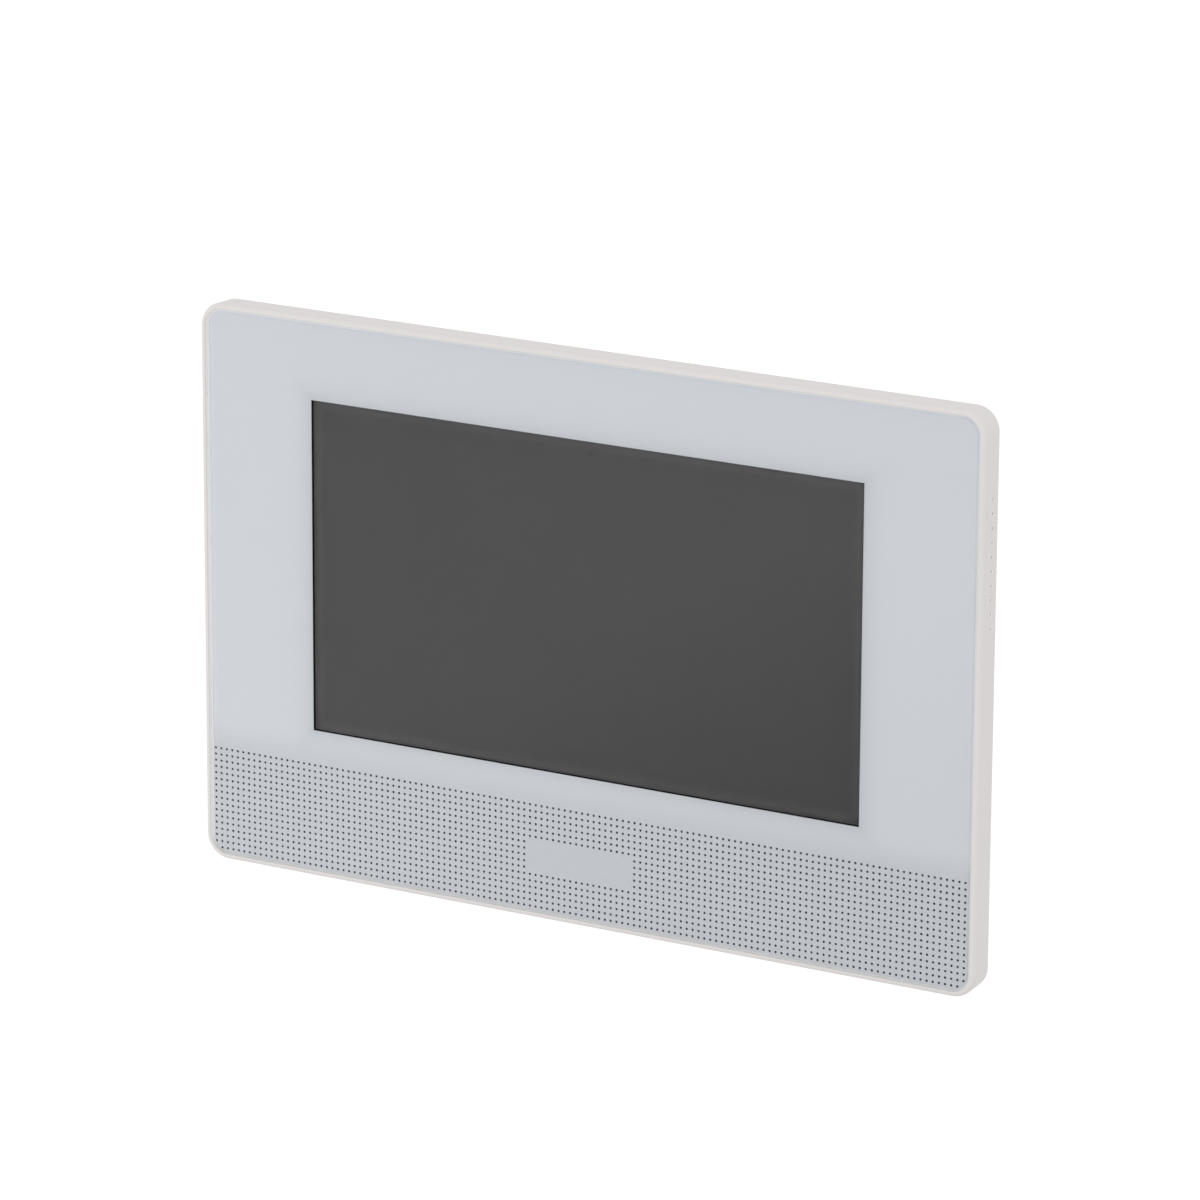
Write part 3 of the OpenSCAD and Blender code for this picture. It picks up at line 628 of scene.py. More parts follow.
class KEYPAD_OT_fit_glass(bpy.types.Operator):
    """Fits the clear cover glass with its ground edge, and finishes what is bonded behind it"""

    bl_idname = "keypad.fit_glass"
    bl_label = "Cover glass"

    PANE_TINT = (0.993, 0.997, 0.997)
    EDGE_STEPS = 6
    BACK_CHAMFER = 0.1 * MM
    PAINTED = 0.45 * MM  # painted band along the back's edge
    FOOT_SHADE_TONE = 0.73  # painted shade: of the painted edge along the foot, beside 1 at the sides
    # width of the painted light along the glass's edge
    LIFT_WIDTH = 2.2 * MM
    LIFT_ELSEWHERE = 0.25  # of the painted light, away from the left side
    RIM_REACH = 2.4 * MM  # of the print's darker rim round the window
    RIM_SHADE = 0.165
    FIELD_TOP = 10.0 * MM  # where the painted shade starts, below the window
    FIELD_SOFT = 9.0 * MM
    # where the print's painted shade towards the lower right starts and ends
    SHADE_FALL_MARKS = (20 * MM, 200 * MM)
    FILM_TINT = (0.983, 0.983, 0.983)
    FILM_IOR = 1.05
    FILM_GLOSS = 0.02

    def pane(self, s, width, height):
        """The glass, clear in front and with a painted edge."""
        low, high = GLASS_LOW, GLASS_HIGH
        clear = pane_glass("clear_glass", self.PANE_TINT, s.ior)

        def shaded_foot(tree, tone):
            """The painted edge's colour, with painted shade along the glass's foot."""
            z, end = place_parts(tree)["Z"], low.z + GLASS_CORNER
            return scaled(tone, ramp(z, low.z, end, self.FOOT_SHADE_TONE, 1.0))

        more = {"tint": shaded_foot, "IOR": 1.5}
        ground = finish(
            "ground_glass_edge", "moulded", s.edge_colour, 0.45, 0.05, 60, 9000, 0.004, **more
        )
        turns = [math.pi / 2 * i / self.EDGE_STEPS for i in range(self.EDGE_STEPS + 1)]
        profile = [
            (s.edge_round * (1 - math.sin(a)), low.y + s.edge_round * (1 - math.cos(a)))
            for a in turns
        ]
        back, cut = high.y - s.print_gap, self.BACK_CHAMFER
        profile += [(0, back - cut), (cut, back), (self.PAINTED, back)]
        rings = [
            rounded_ring(width - 2 * inset, height - 2 * inset, GLASS_CORNER - inset, y)
            for inset, y in profile
        ]
        mesh = stacked_rings(rings)
        clear_faces = 2 + self.EDGE_STEPS * len(rings[0])
        indexes = [int(i >= clear_faces) for i in range(len(mesh[1]))]
        skins = [clear, ground]
        pane = piece("glass_pane", *mesh, skins, "panel", "cover_glass", (0, 1), indexes)
        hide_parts("cover_glass")

    def print_tint(self, s, width, height):
        """A tint for the print: painted light along the glass's edge, painted shade downwards from
        below the window and towards the lower right, and darker along the window."""
        left, right, foot, top = window_edges()
        corner = GLASS_CORNER
        field_top = foot - self.FIELD_TOP

        def beyond(value, half):
            """How far a value lies past half a width to either side."""
            return sum_of("SUBTRACT", sum_of("ABSOLUTE", value), half)

        def shaded(tree, tone):
            parts = place_parts(tree)
            x, z = parts["X"], parts["Z"]
            away = [beyond(x, width / 2 - corner), beyond(z, height / 2 - corner)]
            outer = [sum_of("MAXIMUM", value, 0.0) for value in away]
            squares = [product(value, value) for value in outer]
            round_part = sum_of("SQRT", sum_of("ADD", *squares))
            straight = sum_of("MINIMUM", sum_of("MAXIMUM", *away), 0.0)
            edge = sum_of("ADD", round_part, straight)
            # painted light: the print paler towards the glass's edge, more at the left
            lifts = (s.painted_edge_light, self.LIFT_ELSEWHERE * s.painted_edge_light)
            lift = ramp(x, -width / 2, 2 * corner - width / 2, *lifts)
            near = ramp(edge, corner - self.LIFT_WIDTH, corner)
            edge_light_level = sum_of("MULTIPLY_ADD", near, lift, 1.0)
            # painted shade: the print darker downwards from below the window
            field_end = field_top + self.FIELD_SOFT
            field_shade_level = ramp(z, field_top, field_end, 1.0 - s.painted_field_shade, 1.0)
            outside = 0.0
            for value, low_edge, high_edge in ((x, left, right), (z, foot, top)):
                from_middle = sum_of("SUBTRACT", value, (low_edge + high_edge) / 2)
                past = beyond(from_middle, (high_edge - low_edge) / 2)
                outside = sum_of("MAXIMUM", outside, past)
            fade = sum_of("EXPONENT", product(outside, -1 / self.RIM_REACH))
            rim = sum_of("MULTIPLY_ADD", fade, -self.RIM_SHADE, 1.0)
            # painted shade towards the lower right
            shade_fall = low_right_shade(x, z, *self.SHADE_FALL_MARKS, s.shade_fall)
            return scaled(tone, product(edge_light_level, field_shade_level, rim, shade_fall))

        return shaded

    def execute(self, context):
        s = context.scene.keypad_glass
        low, high = GLASS_LOW, GLASS_HIGH
        sides = (high.x - low.x - 2 * SIDE_TRIM, high.z - low.z + 2 * HEAD_GROWTH)
        self.pane(s, *sides)
        shade = {"tint": self.print_tint(s, *sides)}
        rows = (
            ("printed_border", "moulded", s.print_colour, 0.5, 0.012, 25, 6000, 0.0002, shade,
             "border_print"),
            ("bonding_tape", "foam", srgb(38, 38, 40), 0.6, 0.06, 150, 3000, 0.01, {},
             "glass_tape"),
        )
        dress_all(rows)
        film = see_through("sensor_film", self.FILM_TINT, self.FILM_IOR, self.FILM_GLOSS)
        dress(film, "touch_sensor")
        return {"FINISHED"}


class KEYPAD_OT_fit_bead(bpy.types.Operator):
    """Lays the thin bead that fills the seam between the glass and the housing's ring: its grey is
    painted shade of the seam
    """

    bl_idname = "keypad.fit_bead"
    bl_label = "Seam bead"

    CLEAR = 0.01 * MM
    BACK = 1.0 * MM

    def execute(self, context):
        s = context.scene.keypad_glass
        low, high = GLASS_LOW, GLASS_HIGH
        width, height = high.x - low.x, high.z - low.z
        reach = RING_GAP - self.CLEAR
        inner = (
            width + 2 * (self.CLEAR - SIDE_TRIM),
            height + 2 * (self.CLEAR + HEAD_GROWTH),
            GLASS_CORNER + self.CLEAR,
        )
        outer = (width + 2 * reach, height + 2 * reach, GLASS_CORNER + reach)
        front, back = low.y + s.bead_depth, low.y + self.BACK
        corners = ((inner, front), (outer, front), (outer, back), (inner, back))
        rings = [rounded_ring(*shape, y) for shape, y in corners]
        points, faces = joined_rings(rings, closed=True)
        # the bead's grey is painted shade of the seam
        bead = finish("bead_seam_shade", "moulded", s.seam_shade_colour, 0.6, 0.03, 60, 6000, 0.002)
        piece("seam_bead", points, faces, [bead], "panel", "white_print", range(len(faces)))
        return {"FINISHED"}


class KEYPAD_OT_print_dots(bpy.types.Operator):
    """Prints the rows of small dots on the back of the glass, below the window"""

    bl_idname = "keypad.print_dots"
    bl_label = "Printed dots"

    INK_GAP = 0.004 * MM  # between the dots and the print behind them
    INK_THICK = 0.012 * MM

    def execute(self, context):
        s = context.scene.keypad_dots
        ink = finish("dot_ink", "moulded", s.ink, 0.4, 0.15, 700, 9000, 0.002)
        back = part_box("border_print")[0].y - self.INK_GAP
        front = back - self.INK_THICK
        top = window_edges()[2] - s.top_row
        bare_column = (s.columns - s.gap_columns) // 2
        bare_row = (s.rows - s.gap_rows + 1) // 2
        bare_columns = range(bare_column, bare_column + s.gap_columns)
        bare_rows = range(bare_row, bare_row + s.gap_rows)
        dots = Solids()
        for row in range(s.rows):
            for column in range(s.columns):
                in_gap = column in bare_columns and row in bare_rows
                in_corner = row == s.rows - 1 and column in (0, s.columns - 1)
                if not in_gap and not in_corner:
                    x = s.side_shift + (column - (s.columns - 1) / 2) * s.pitch
                    dots.disc((x, top - row * s.pitch), s.diameter / 2, front, back)
        dots.make("printed_dots", [ink], "panel", "white_print")
        return {"FINISHED"}


# ---- Screen --------------------


class KEYPAD_OT_finish_screen(bpy.types.Operator):
    """Finishes the switched-off display and the parts round it"""

    bl_idname = "keypad.finish_screen"
    bl_label = "Screen"

    BORDER_SOFT = 0.12 * MM
    RIM_WIDTH = 3.5 * MM  # of the screen's paler rim, painted light
    SPECK_RIGHT = 2.0 * MM  # from the window's middle
    SPECK_DOWN = 3.2 * MM  # from its upper edge
    SPECK_RADII = (0.1 * MM, 0.75 * MM)  # of its darkest middle and of its outside
    # where the screen's painted shade towards the lower right starts and ends
    SHADE_FALL_MARKS = (-30 * MM, 160 * MM)

    def execute(self, context):
        s = context.scene.keypad_screen
        left, right, foot, top = window_edges()

        def lit_area(tree, tone):
            """The display's colour: its lit area inside the black border, with a faint speck,
            painted light along the window and painted shade towards the lower right.
            """
            parts = place_parts(tree)
            x, z = parts["X"], parts["Z"]
            inside = inset = 1.0
            for value, edge, way, shift in (
                (x, left, 1, s.border_side),
                (x, right, -1, s.border_side),
                (z, foot, 1, s.border_foot),
                (z, top, -1, s.border_side),
            ):
                start = edge - way * shift
                shown = ramp(value, start, start + way * self.BORDER_SOFT)
                inside = product(shown, inside)
                inset = product(ramp(value, edge, edge + way * self.RIM_WIDTH), inset)
            flat = add(tree, "CombineXYZ", X=x, Z=z).outputs[0]
            away = add(tree, "VectorMath", {"operation": "DISTANCE"}, Vector=flat)
            away.inputs[1].default_value = (self.SPECK_RIGHT, 0, top - self.SPECK_DOWN)
            dim = ramp(away.outputs["Value"], *self.SPECK_RADII, 1 - s.speck, 1.0)
            # painted shade towards the lower right
            shade_fall = low_right_shade(x, z, *self.SHADE_FALL_MARKS, s.shade_fall)
            # painted light: the screen paler along the window's edge
            rim = sum_of("MULTIPLY_ADD", inset, -s.painted_rim_light, 1.0 + s.painted_rim_light)
            lit = scaled(tone, product(dim, shade_fall, rim))
            return blended(inside, rgba(s.border_colour), lit)

        dark = {"tint": lit_area, "Specular_IOR_Level": 0.0}
        rows = (
            ("display_polariser", "moulded", s.screen_colour, 0.34, 0.012, 30, 7000, 0.0001, dark,
             "display_cell"),
            ("bright_sheet", "rolled", (0.62, 0.63, 0.64), 0.3, 0.06, 40, 1800, 0.002, METAL,
             "display_frame"),
            ("backlight_case", "moulded", (0.8, 0.8, 0.77), 0.4, 0.06, 35, 2200, 0.01, {},
             "backlight"),
            ("gasket_foam", "foam", (0.022, 0.022, 0.023), 0.85, 0.3, 300, 2600, 0.05, {},
             "screen_gasket chassis_pads speaker_gasket"),
            ("ribbon_film", "rolled", (0.52, 0.24, 0.05), 0.28, 0.4, 90, 3500, 0.01, FILM,
             "display_ribbon touch_ribbon"),
        )
        dress_all(rows)
        return {"FINISHED"}


# ---- Housings and bracket --------------------


class KEYPAD_OT_finish_housings(bpy.types.Operator):
    """Finishes the front housing, the rear housing with its screws, and the wall bracket"""

    bl_idname = "keypad.finish_housings"
    bl_label = "Housings and bracket"

    BRACKET_TONE = 0.97  # of the rear housing's

    def execute(self, context):
        s = context.scene.keypad_housing
        grain = s.grain_depth / MM
        front, rear = s.front_colour, s.rear_colour
        bracket = [self.BRACKET_TONE * c for c in rear]
        rows = (
            ("front_plastic", "moulded", front, 0.42, 0.015, 30, 2600, grain, SOFT_GLOSS,
             "front_housing"),
            ("rear_plastic", "moulded", rear, 0.52, 0.03, 40, 1500, 2.5 * grain, SOFT_GLOSS,
             "rear_housing"),
            ("bracket_plastic", "moulded", bracket, 0.55, 0.04, 55, 1300, 3 * grain, SOFT_GLOSS,
             "wall_bracket"),
            ("screw_steel", "rolled", (0.5, 0.5, 0.51), 0.3, 0.25, 500, 5000, 0.006, METAL,
             "housing_screws chassis_screws board_screws"),
        )
        dress_all(rows)
        return {"FINISHED"}


# ---- Speaker --------------------


class KEYPAD_OT_finish_speaker(bpy.types.Operator):
    """Finishes the speaker, and fits dark cloth as painted shade in the sound holes, and their
    sloping mouths
    """

    bl_idname = "keypad.finish_speaker"
    bl_label = "Speaker"

    HOLES = 10
    HOLE_PITCH = 3.53 * MM
    HOLE_SIDES = 20
    WALL_FALL = 0.174 * MM  # from the housing's widest place in to the wall round the holes
    WALL_LEAN = 0.0483  # how the wall leans inwards towards the back
    FLARE = ((0.49, 0.28), (0.36, 0.28), (0.36, 0.18), (0.49, 0.02))  # radii and depths, in mm
    # radii and depths in mm of the dark discs, painted shade in the holes
    CLOTH = ((0.35, 0.26), (0.35, 0.19))
    ROWS = (
        ("sound_cloth", "woven", (0.2, 0.2, 0.21), 0.9, 0.9, 60, 14000, 0.03, {}, "sound_mesh"),
        ("speaker_plastic", "moulded", (0.02, 0.02, 0.021), 0.45, 0.2, 60, 1800, 0.02, {},
         "speaker_box"),
        ("magnet_plate", "rolled", (0.48, 0.49, 0.52), 0.35, 0.2, 300, 2600, 0.01, METAL,
         "speaker_magnet"),
        ("surround_rubber", "foam", (0.012, 0.012, 0.012), 0.7, 0.3, 250, 3500, 0.01, {},
         "speaker_surround"),
        ("cone_paper", "foam", (0.04, 0.04, 0.042), 0.65, 0.5, 900, 2200, 0.03, {},
         "speaker_cone"),
        ("wire_jacket", "rolled", (0.3, 0.015, 0.012), 0.4, 0.3, 400, 3000, 0.01, {},
         "speaker_wires"),
    )

    def hole_rings(self, corners):
        """For each sound hole, one ring of points for each corner's radius and depth in mm."""
        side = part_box("front_housing")[1].x - self.WALL_FALL
        low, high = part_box("sound_mesh")
        y = (low.y + high.y) / 2
        for i in range(self.HOLES):
            z = (low.z + high.z) / 2 + (i - (self.HOLES - 1) / 2) * self.HOLE_PITCH
            yield [
                [
                    (side - depth * MM - self.WALL_LEAN * across, y + across, z + up)
                    for across, up in circle(radius * MM, self.HOLE_SIDES)
                ]
                for radius, depth in corners
            ]

    def hole_shade_cloth(self):
        """Small dark round pieces of cloth, one in each sound hole below its sloping mouth,
        standing in for the shade inside the hole.
        """
        shade_cloth = finish("hole_shade_cloth", "woven", (0.15, 0.145, 0.145), 0.9, 0.3, 60, 14000, 0.02)
        rounds = Solids()
        for rings in self.hole_rings(self.CLOTH):
            rounds.add(*stacked_rings(rings))
        rounds.make("sound_hole_shade_cloth", [shade_cloth], "panel", "mesh_cloth")

    def hole_flares(self):
        """The sloping mouths of the sound holes, each a closed ring, far paler than the housing: a
        painted highlight.
        """
        values = (0.42, 0.015, 60, 2600, 0.004)
        # painted highlight: the mouths far paler than the housing round them
        highlight_plastic = finish("flare_highlight_plastic", "moulded", (0.93, 0.92, 0.91), *values, **SOFT_GLOSS)
        flares = Solids()
        for rings in self.hole_rings(self.FLARE):
            flares.add(*joined_rings(rings, closed=True))
        flares.make("sound_hole_flares", [highlight_plastic], "panel", "white_housing")

    def execute(self, context):
        self.hole_shade_cloth()
        self.hole_flares()
        dress_all(self.ROWS)
        return {"FINISHED"}


# ---- Main board --------------------


class KEYPAD_OT_finish_board(bpy.types.Operator):
    """Finishes the chassis, the main board and the parts on it"""

    bl_idname = "keypad.finish_board"
    bl_label = "Main board"

    def execute(self, context):
        s = context.scene.keypad_board
        rows = (
            ("chassis_sheet", "rolled", (0.6, 0.61, 0.62), 0.34, 0.2, 40, 1500, 0.006, METAL,
             "chassis_plate"),
            ("standoff_brass", "rolled", (0.62, 0.44, 0.16), 0.3, 0.2, 300, 4000, 0.006, METAL,
             "board_standoffs"),
            ("solder_mask", "circuit", s.mask_colour, 0.38, 1.6, 28, 230, 0.03, LACQUER,
             "main_board"),
            ("radio_mask", "circuit", (0.01, 0.035, 0.12), 0.36, 1.6, 60, 500, 0.03, LACQUER,
             "radio_board"),
            ("connector_nylon", "moulded", (0.66, 0.6, 0.46), 0.45, 0.1, 200, 3000, 0.01, {},
             "ribbon_connectors speaker_connector"),
            ("chip_epoxy", "moulded", (0.018, 0.018, 0.02), 0.55, 0.3, 250, 5200, 0.02, {},
             "processor memory_chips"),
            ("tinned_can", "rolled", (0.66, 0.67, 0.68), 0.28, 0.25, 160, 2600, 0.01, METAL,
             "radio_can"),
            ("ferrite", "foam", (0.05, 0.05, 0.053), 0.6, 0.4, 300, 5200, 0.03, {},
             "power_inductors"),
            ("capacitor_can", "rolled", (0.62, 0.63, 0.66), 0.25, 0.15, 260, 3600, 0.005, METAL,
             "capacitors"),
            ("holder_plastic", "moulded", (0.02, 0.02, 0.022), 0.5, 0.2, 150, 2600, 0.02, {},
             "cell_holder"),
            ("cell_steel", "rolled", (0.66, 0.66, 0.64), 0.24, 0.15, 200, 3000, 0.004, METAL,
             "clock_cell"),
            ("terminal_plastic", "moulded", (0.018, 0.15, 0.06), 0.4, 0.12, 150, 2600, 0.015, {},
             "terminal_block"),
            ("terminal_steel", "rolled", (0.58, 0.58, 0.57), 0.3, 0.25, 600, 5200, 0.01, METAL,
             "terminal_screws"),
        )
        dress_all(rows)
        return {"FINISHED"}


class KEYPAD_OT_finish_switches(bpy.types.Operator):
    """Finishes the tamper switch and the reset switch, and winds the tamper's return spring"""

    bl_idname = "keypad.finish_switches"
    bl_label = "Switches"

    WIRE = 0.3 * MM
    TURNS = 2.5
    DEAD_TURN = 0.3  # of a turn that lies flat at each end
    TURN_STEPS = 40
    WIRE_SIDES = 10
    PRESS = 1.2 * MM
    ROWS = (
        ("switch_plastic", "moulded", (0.016, 0.016, 0.018), 0.5, 0.2, 300, 3000, 0.01, {},
         "tamper_switch"),
        ("plunger_plastic", "moulded", (0.74, 0.73, 0.7), 0.35, 0.06, 300, 3000, 0.01, {},
         "tamper_plunger"),
        ("switch_can", "rolled", (0.58, 0.58, 0.6), 0.3, 0.2, 500, 5000, 0.01, METAL,
         "reset_switch"),
        ("button_plastic", "moulded", (0.012, 0.012, 0.013), 0.4, 0.2, 500, 4000, 0.01, {},
         "reset_button"),
    )

    def return_spring(self):
        """The coil spring under the plunger's collar, wound as it stands at rest."""
        values = (0.25, 0.2, 900, 6000, 0.01)
        wire = finish("return_spring_wire", "rolled", (0.52, 0.52, 0.54), *values, **METAL)
        low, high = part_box("tamper_spring")
        centre = (low + high) / 2
        coil = (high.x - low.x - self.WIRE) / 2
        rise = high.y - low.y - self.WIRE
        steps = int(self.TURNS * self.TURN_STEPS)
        rings = []
        for i in range(steps + 1):
            turn = self.TURNS * i / steps
            share_up = (turn - self.DEAD_TURN) / (self.TURNS - 2 * self.DEAD_TURN)
            middle = low.y + self.WIRE / 2 + rise * min(1, max(0, share_up))
            a = 2 * math.pi * turn
            ring = []
            for across, up in circle(self.WIRE / 2, self.WIRE_SIDES):
                x, z = (coil + across) * math.cos(a), (coil + across) * math.sin(a)
                ring.append((centre.x + x, middle + up, centre.z + z))
            rings.append(ring)
        spring = piece(
            "return_spring", *stacked_rings(rings), [wire], "panel", "spring_steel", (0, 1)
        )
        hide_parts("tamper_spring")
        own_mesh(spring)

    def execute(self, context):
        self.return_spring()
        dress_all(self.ROWS)
        return {"FINISHED"}


class KEYPAD_OT_fit_board_parts(bpy.types.Operator):
    """Fits the small parts of the main board: chip legs, resistors, capacitors and solder"""

    bl_idname = "keypad.fit_board_parts"
    bl_label = "Small board parts"

    LEG_PITCH = 0.8 * MM
    LEG_WIDTH = 0.35 * MM
    LEG_REACH = 1.0 * MM
    LEG_THICK = 0.15 * MM
    SOLE_GAP = 0.02 * MM  # under a leg's foot
    CHIP_GAP = 3 * MM  # between the two memory chips
    CLEAR = 1.2 * MM  # round every small part
    TALL_PARTS = (
        "processor memory_chips radio_board power_inductors capacitors cell_holder "
        "terminal_block tamper_switch reset_switch speaker_connector speaker_wires"
    ).split()
    CORNER = 9 * MM  # kept free for the board's screws
    EDGE = 2 * MM
    TRIES = 40  # places tried for each small part
    SIZES = ((1.6 * MM, 0.8 * MM, 0.5 * MM), (2.0 * MM, 1.25 * MM, 0.7 * MM))
    KINDS = (1, 1, 2)  # two resistors for each capacitor
    CAP_SHARE = 0.22  # of a part's length, tinned at each end
    CAP_CHAMFER = 0.08 * MM
    BODY_CHAMFER = 0.05 * MM
    STAND = 0.01 * MM  # between the board and a small part

    def legs(self, solids, low, high, sides):
        """Bent legs along the given sides of a chip, from half its height to the board."""
        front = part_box("main_board")[1].y
        top = (low.y + high.y) / 2
        under, foot, sole = top - self.LEG_THICK, front + self.LEG_THICK, front + self.SOLE_GAP
        shape = [
            (part * self.LEG_REACH, y)
            for part, y in (
                (0, top), (0.45, top), (0.7, foot), (1, foot),
                (1, sole), (0.6, sole), (0.35, under), (0, under),
            )
        ]
        for axis, sign in sides:
            across = "z" if axis == "x" else "x"
            start, end = getattr(low, across), getattr(high, across)
            edge = getattr(high if sign > 0 else low, axis)
            count = int((end - start - self.LEG_PITCH) / self.LEG_PITCH)
            centre = (start + end) / 2
            for i in range(count):
                place = centre + (i - (count - 1) / 2) * self.LEG_PITCH - self.LEG_WIDTH / 2
                if axis == "x":
                    outline = [(edge + sign * u, y, place) for u, y in shape]
                    solids.extrusion(outline, (0, 0, self.LEG_WIDTH))
                else:
                    outline = [(place, y, edge + sign * u) for u, y in shape]
                    solids.extrusion(outline, (self.LEG_WIDTH, 0, 0))

    def chip_legs(self, tin):
        legs = Solids()
        self.legs(legs, *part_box("processor"), (("x", 1), ("x", -1), ("z", 1), ("z", -1)))
        low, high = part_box("memory_chips")
        half = (high.z - low.z - self.CHIP_GAP) / 2
        for foot in (low.z, high.z - half):
            corners = Vector((low.x, low.y, foot)), Vector((high.x, high.y, foot + half))
            self.legs(legs, *corners, (("x", 1), ("x", -1)))
        legs.make("chip_legs", [tin], "panel", "can_tin")

    def taken_places(self, low, high):
        """What the board's large parts and its corners take up, as (x, z, x, z)."""
        boxes = [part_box(name) for name in self.TALL_PARTS]
        taken = [(a.x, a.z, b.x, b.z) for a, b in boxes]
        for sx, sz in ((0, 0), (1, 0), (0, 1), (1, 1)):
            x = high.x - self.CORNER if sx else low.x
            z = high.z - self.CORNER if sz else low.z
            taken.append((x, z, x + self.CORNER, z + self.CORNER))
        return taken

    def place_small_parts(self, s, parts):
        """Draws a size, a turn and a place again and again, and keeps what finds room."""
        low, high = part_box("main_board")
        taken = self.taken_places(low, high)
        draw = random.Random(s.seed)
        placed = 0
        for _ in range(self.TRIES * s.small_parts):
            if placed == s.small_parts:
                break
            long, wide, tall = draw.choice(self.SIZES)
            upright = draw.random() < 0.5
            index = draw.choice(self.KINDS)
            w, h = (wide, long) if upright else (long, wide)
            x = round(draw.uniform(low.x + self.EDGE, high.x - self.EDGE) / MM) * MM
            z = round(draw.uniform(low.z + self.EDGE, high.z - self.EDGE) / MM) * MM
            left, right = x - w / 2 - self.CLEAR, x + w / 2 + self.CLEAR
            foot, top = z - h / 2 - self.CLEAR, z + h / 2 + self.CLEAR
            if any(left < t[2] and right > t[0] and foot < t[3] and top > t[1] for t in taken):
                continue
            taken.append((x - w / 2, z - h / 2, x + w / 2, z + h / 2))
            placed += 1
            cap = self.CAP_SHARE * long
            y = high.y + self.STAND + tall / 2
            body = (w, tall, h - 2 * cap) if upright else (w - 2 * cap, tall, h)
            parts.box((x, y, z), body, index, self.BODY_CHAMFER)
            end = (w, tall, cap) if upright else (cap, tall, h)
            for side in (1, -1):
                away = side * (long - cap) / 2
                place = (x, y, z + away) if upright else (x + away, y, z)
                parts.box(place, end, 0, self.CAP_CHAMFER)

    def execute(self, context):
        values = (0.28, 0.2, 800, 6000, 0.01)
        tin = finish("tinned_leg", "rolled", (0.64, 0.64, 0.65), *values, **METAL)
        self.chip_legs(tin)
        values = (0.5, 0.06, 900, 6000, 0.01)
        ceramic = finish("resistor_body", "moulded", (0.020, 0.020, 0.022), *values)
        buff = finish("capacitor_body", "moulded", (0.36, 0.24, 0.13), *values)
        parts = Solids()
        self.place_small_parts(context.scene.keypad_board, parts)
        parts.make("small_board_parts", [tin, ceramic, buff], "panel", "chip_black")
        return {"FINISHED"}


# ---- Studio --------------------


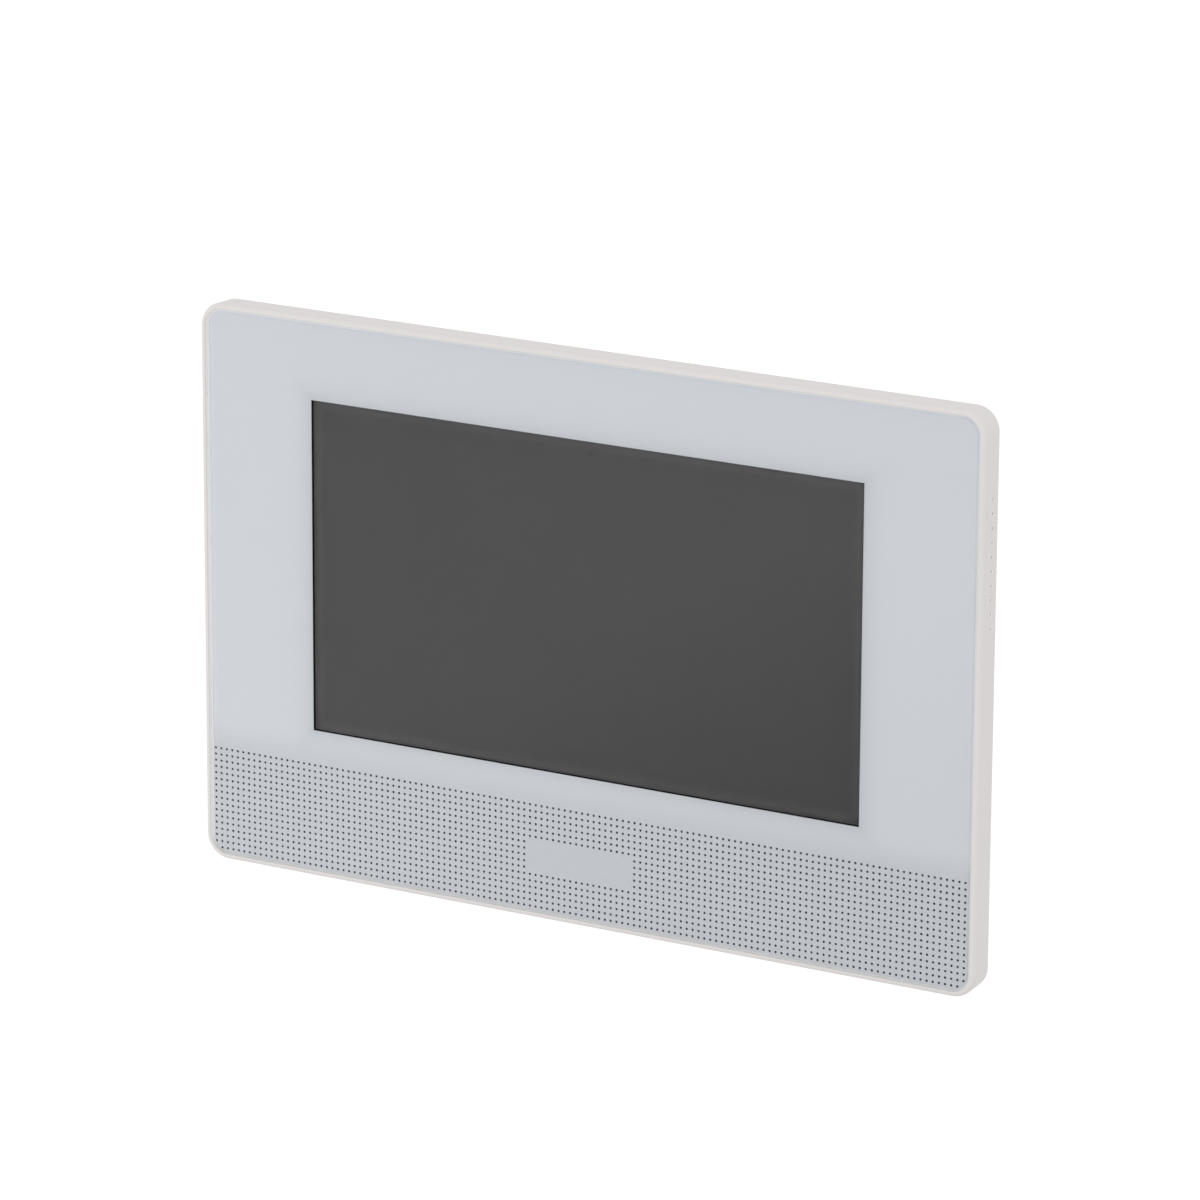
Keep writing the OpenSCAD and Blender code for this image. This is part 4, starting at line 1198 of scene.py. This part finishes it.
class KEYPAD_OT_build_studio(bpy.types.Operator):
    """Builds the floor, the soft lamps, the surrounding light and the camera"""

    bl_idname = "keypad.build_studio"
    bl_label = "Studio"

    FLOOR_SIZE = 40.0
    FLOOR_TONE = 0.8
    FLOOR_GLOW = 0.35
    SENSOR_WIDTH = 36  # in millimetres
    CLIP = (0.05, 60)
    LAMPS = (  # name, place, size and level on a white face that looks at it
        ("left_lamp", (-0.46, -0.33, 0.05), 0.3, 0.10),
        ("right_lamp", (0.62, -0.74, 0.24), 0.6, 0.165),
        ("top_lamp", (-0.08, -0.31, 0.38), 0.3, 0.02),
        ("low_lamp", (-0.24, -0.34, -0.20), 0.3, 0.07),
        ("back_lamp", (0.3, 1.8, 0.3), 1.4, 0.07),
    )

    def floor(self, studio):
        material, tree, output = new_material("studio_floor")
        seen = backdrop_rays(tree)
        tone = rgba([self.FLOOR_TONE] * 3)
        plain = add(tree, "BsdfDiffuse", Color=tone).outputs[0]
        white, level = rgba((1, 1, 1)), self.FLOOR_GLOW
        glow = add(tree, "Emission", Color=white, Strength=level).outputs[0]
        lifted = joined("AddShader", (plain, glow))
        feed(output.inputs["Surface"], mixed(seen, plain, lifted))
        half, z = self.FLOOR_SIZE / 2, -studio.floor_drop
        corners = [(-half, -half, z), (half, -half, z), (half, half, z), (-half, half, z)]
        mesh = bpy.data.meshes.new("floor")
        mesh.from_pydata(corners, [], [(0, 1, 2, 3)])
        mesh.materials.append(material)
        floor = new_object("floor", mesh)

    def lamps(self):
        for name, place, size, level in self.LAMPS:
            place = Vector(place)
            lamp = bpy.data.lights.new(name, "AREA")
            lamp.shape = "DISK"
            lamp.size = size
            lamp.energy = level * math.pi**2 * place.length_squared
            made = new_object(name, lamp)
            made.location = place
            made.rotation_mode = "QUATERNION"
            made.rotation_quaternion = place.to_track_quat("Z", "Y")
            made.visible_glossy = False
            made.visible_camera = False

    def surroundings(self, studio):
        world = bpy.data.worlds.new("studio_light")
        bpy.context.scene.world = world
        world.use_nodes = True
        tree = world.node_tree
        tree.nodes.clear()
        seen, ambient = backdrop_rays(tree), studio.ambient
        level = sum_of("MULTIPLY_ADD", seen, 1 - ambient, ambient)
        sky = add(tree, "Background", Color=rgba((1, 1, 1)), Strength=level)
        output = tree.nodes.new("ShaderNodeOutputWorld")
        feed(output.inputs["Surface"], sky.outputs[0])

    def camera(self, studio):
        a, e, roll = studio.azimuth, studio.elevation, studio.roll
        back = Vector((math.sin(a) * math.cos(e), -math.cos(a) * math.cos(e), math.sin(e)))
        right = Vector((math.cos(a), math.sin(a), 0))
        up = back.cross(right)
        right, up = (
            math.cos(roll) * right + math.sin(roll) * up,
            math.cos(roll) * up - math.sin(roll) * right,
        )
        aside = studio.aim_right * right + studio.aim_up * up
        place = Vector((0, FRONT, 0)) + aside + studio.distance * back
        lens = bpy.data.cameras.new("studio_camera")
        lens.lens = studio.lens
        lens.sensor_width = self.SENSOR_WIDTH
        lens.clip_start, lens.clip_end = self.CLIP
        made = new_object("studio_camera", lens)
        axes = Matrix((right, up, back)).transposed().to_4x4()
        made.matrix_world = Matrix.Translation(place) @ axes
        bpy.context.scene.camera = made

    def execute(self, context):
        studio = context.scene.keypad_studio
        context.scene.view_settings.view_transform = "Standard"
        self.floor(studio)
        self.lamps()
        self.surroundings(studio)
        self.camera(studio)
        return {"FINISHED"}


OPERATORS = (
    KEYPAD_OT_build_studio,
    KEYPAD_OT_fit_glass,
    KEYPAD_OT_fit_bead,
    KEYPAD_OT_print_dots,
    KEYPAD_OT_finish_screen,
    KEYPAD_OT_finish_housings,
    KEYPAD_OT_finish_speaker,
    KEYPAD_OT_finish_board,
    KEYPAD_OT_fit_board_parts,
    KEYPAD_OT_finish_switches,
)


class KEYPAD_PT_sidebar(bpy.types.Panel):
    """Lists the pieces and their settings"""

    bl_idname = "KEYPAD_PT_sidebar"
    bl_label = "Keypad panel"
    bl_space_type = "VIEW_3D"
    bl_region_type = "UI"
    bl_category = "Keypad panel"

    def draw(self, context):
        for operator in OPERATORS:
            self.layout.operator(operator.bl_idname)
        for name, settings in SETTINGS.items():
            box = self.layout.box()
            box.label(text=name.removeprefix("keypad_").capitalize())
            group = getattr(context.scene, name)
            for title in settings.__annotations__:
                box.prop(group, title)


def register():
    for cls in (*SETTINGS.values(), *OPERATORS, KEYPAD_PT_sidebar):
        bpy.utils.register_class(cls)
    for name, settings in SETTINGS.items():
        setattr(bpy.types.Scene, name, PointerProperty(type=settings))


def unregister():
    for name in SETTINGS:
        delattr(bpy.types.Scene, name)
    for cls in reversed((*SETTINGS.values(), *OPERATORS, KEYPAD_PT_sidebar)):
        bpy.utils.unregister_class(cls)


def main():
    register()
    for operator in OPERATORS:
        category, name = operator.bl_idname.split(".")
        getattr(getattr(bpy.ops, category), name)()


if __name__ == "__main__":
    main()
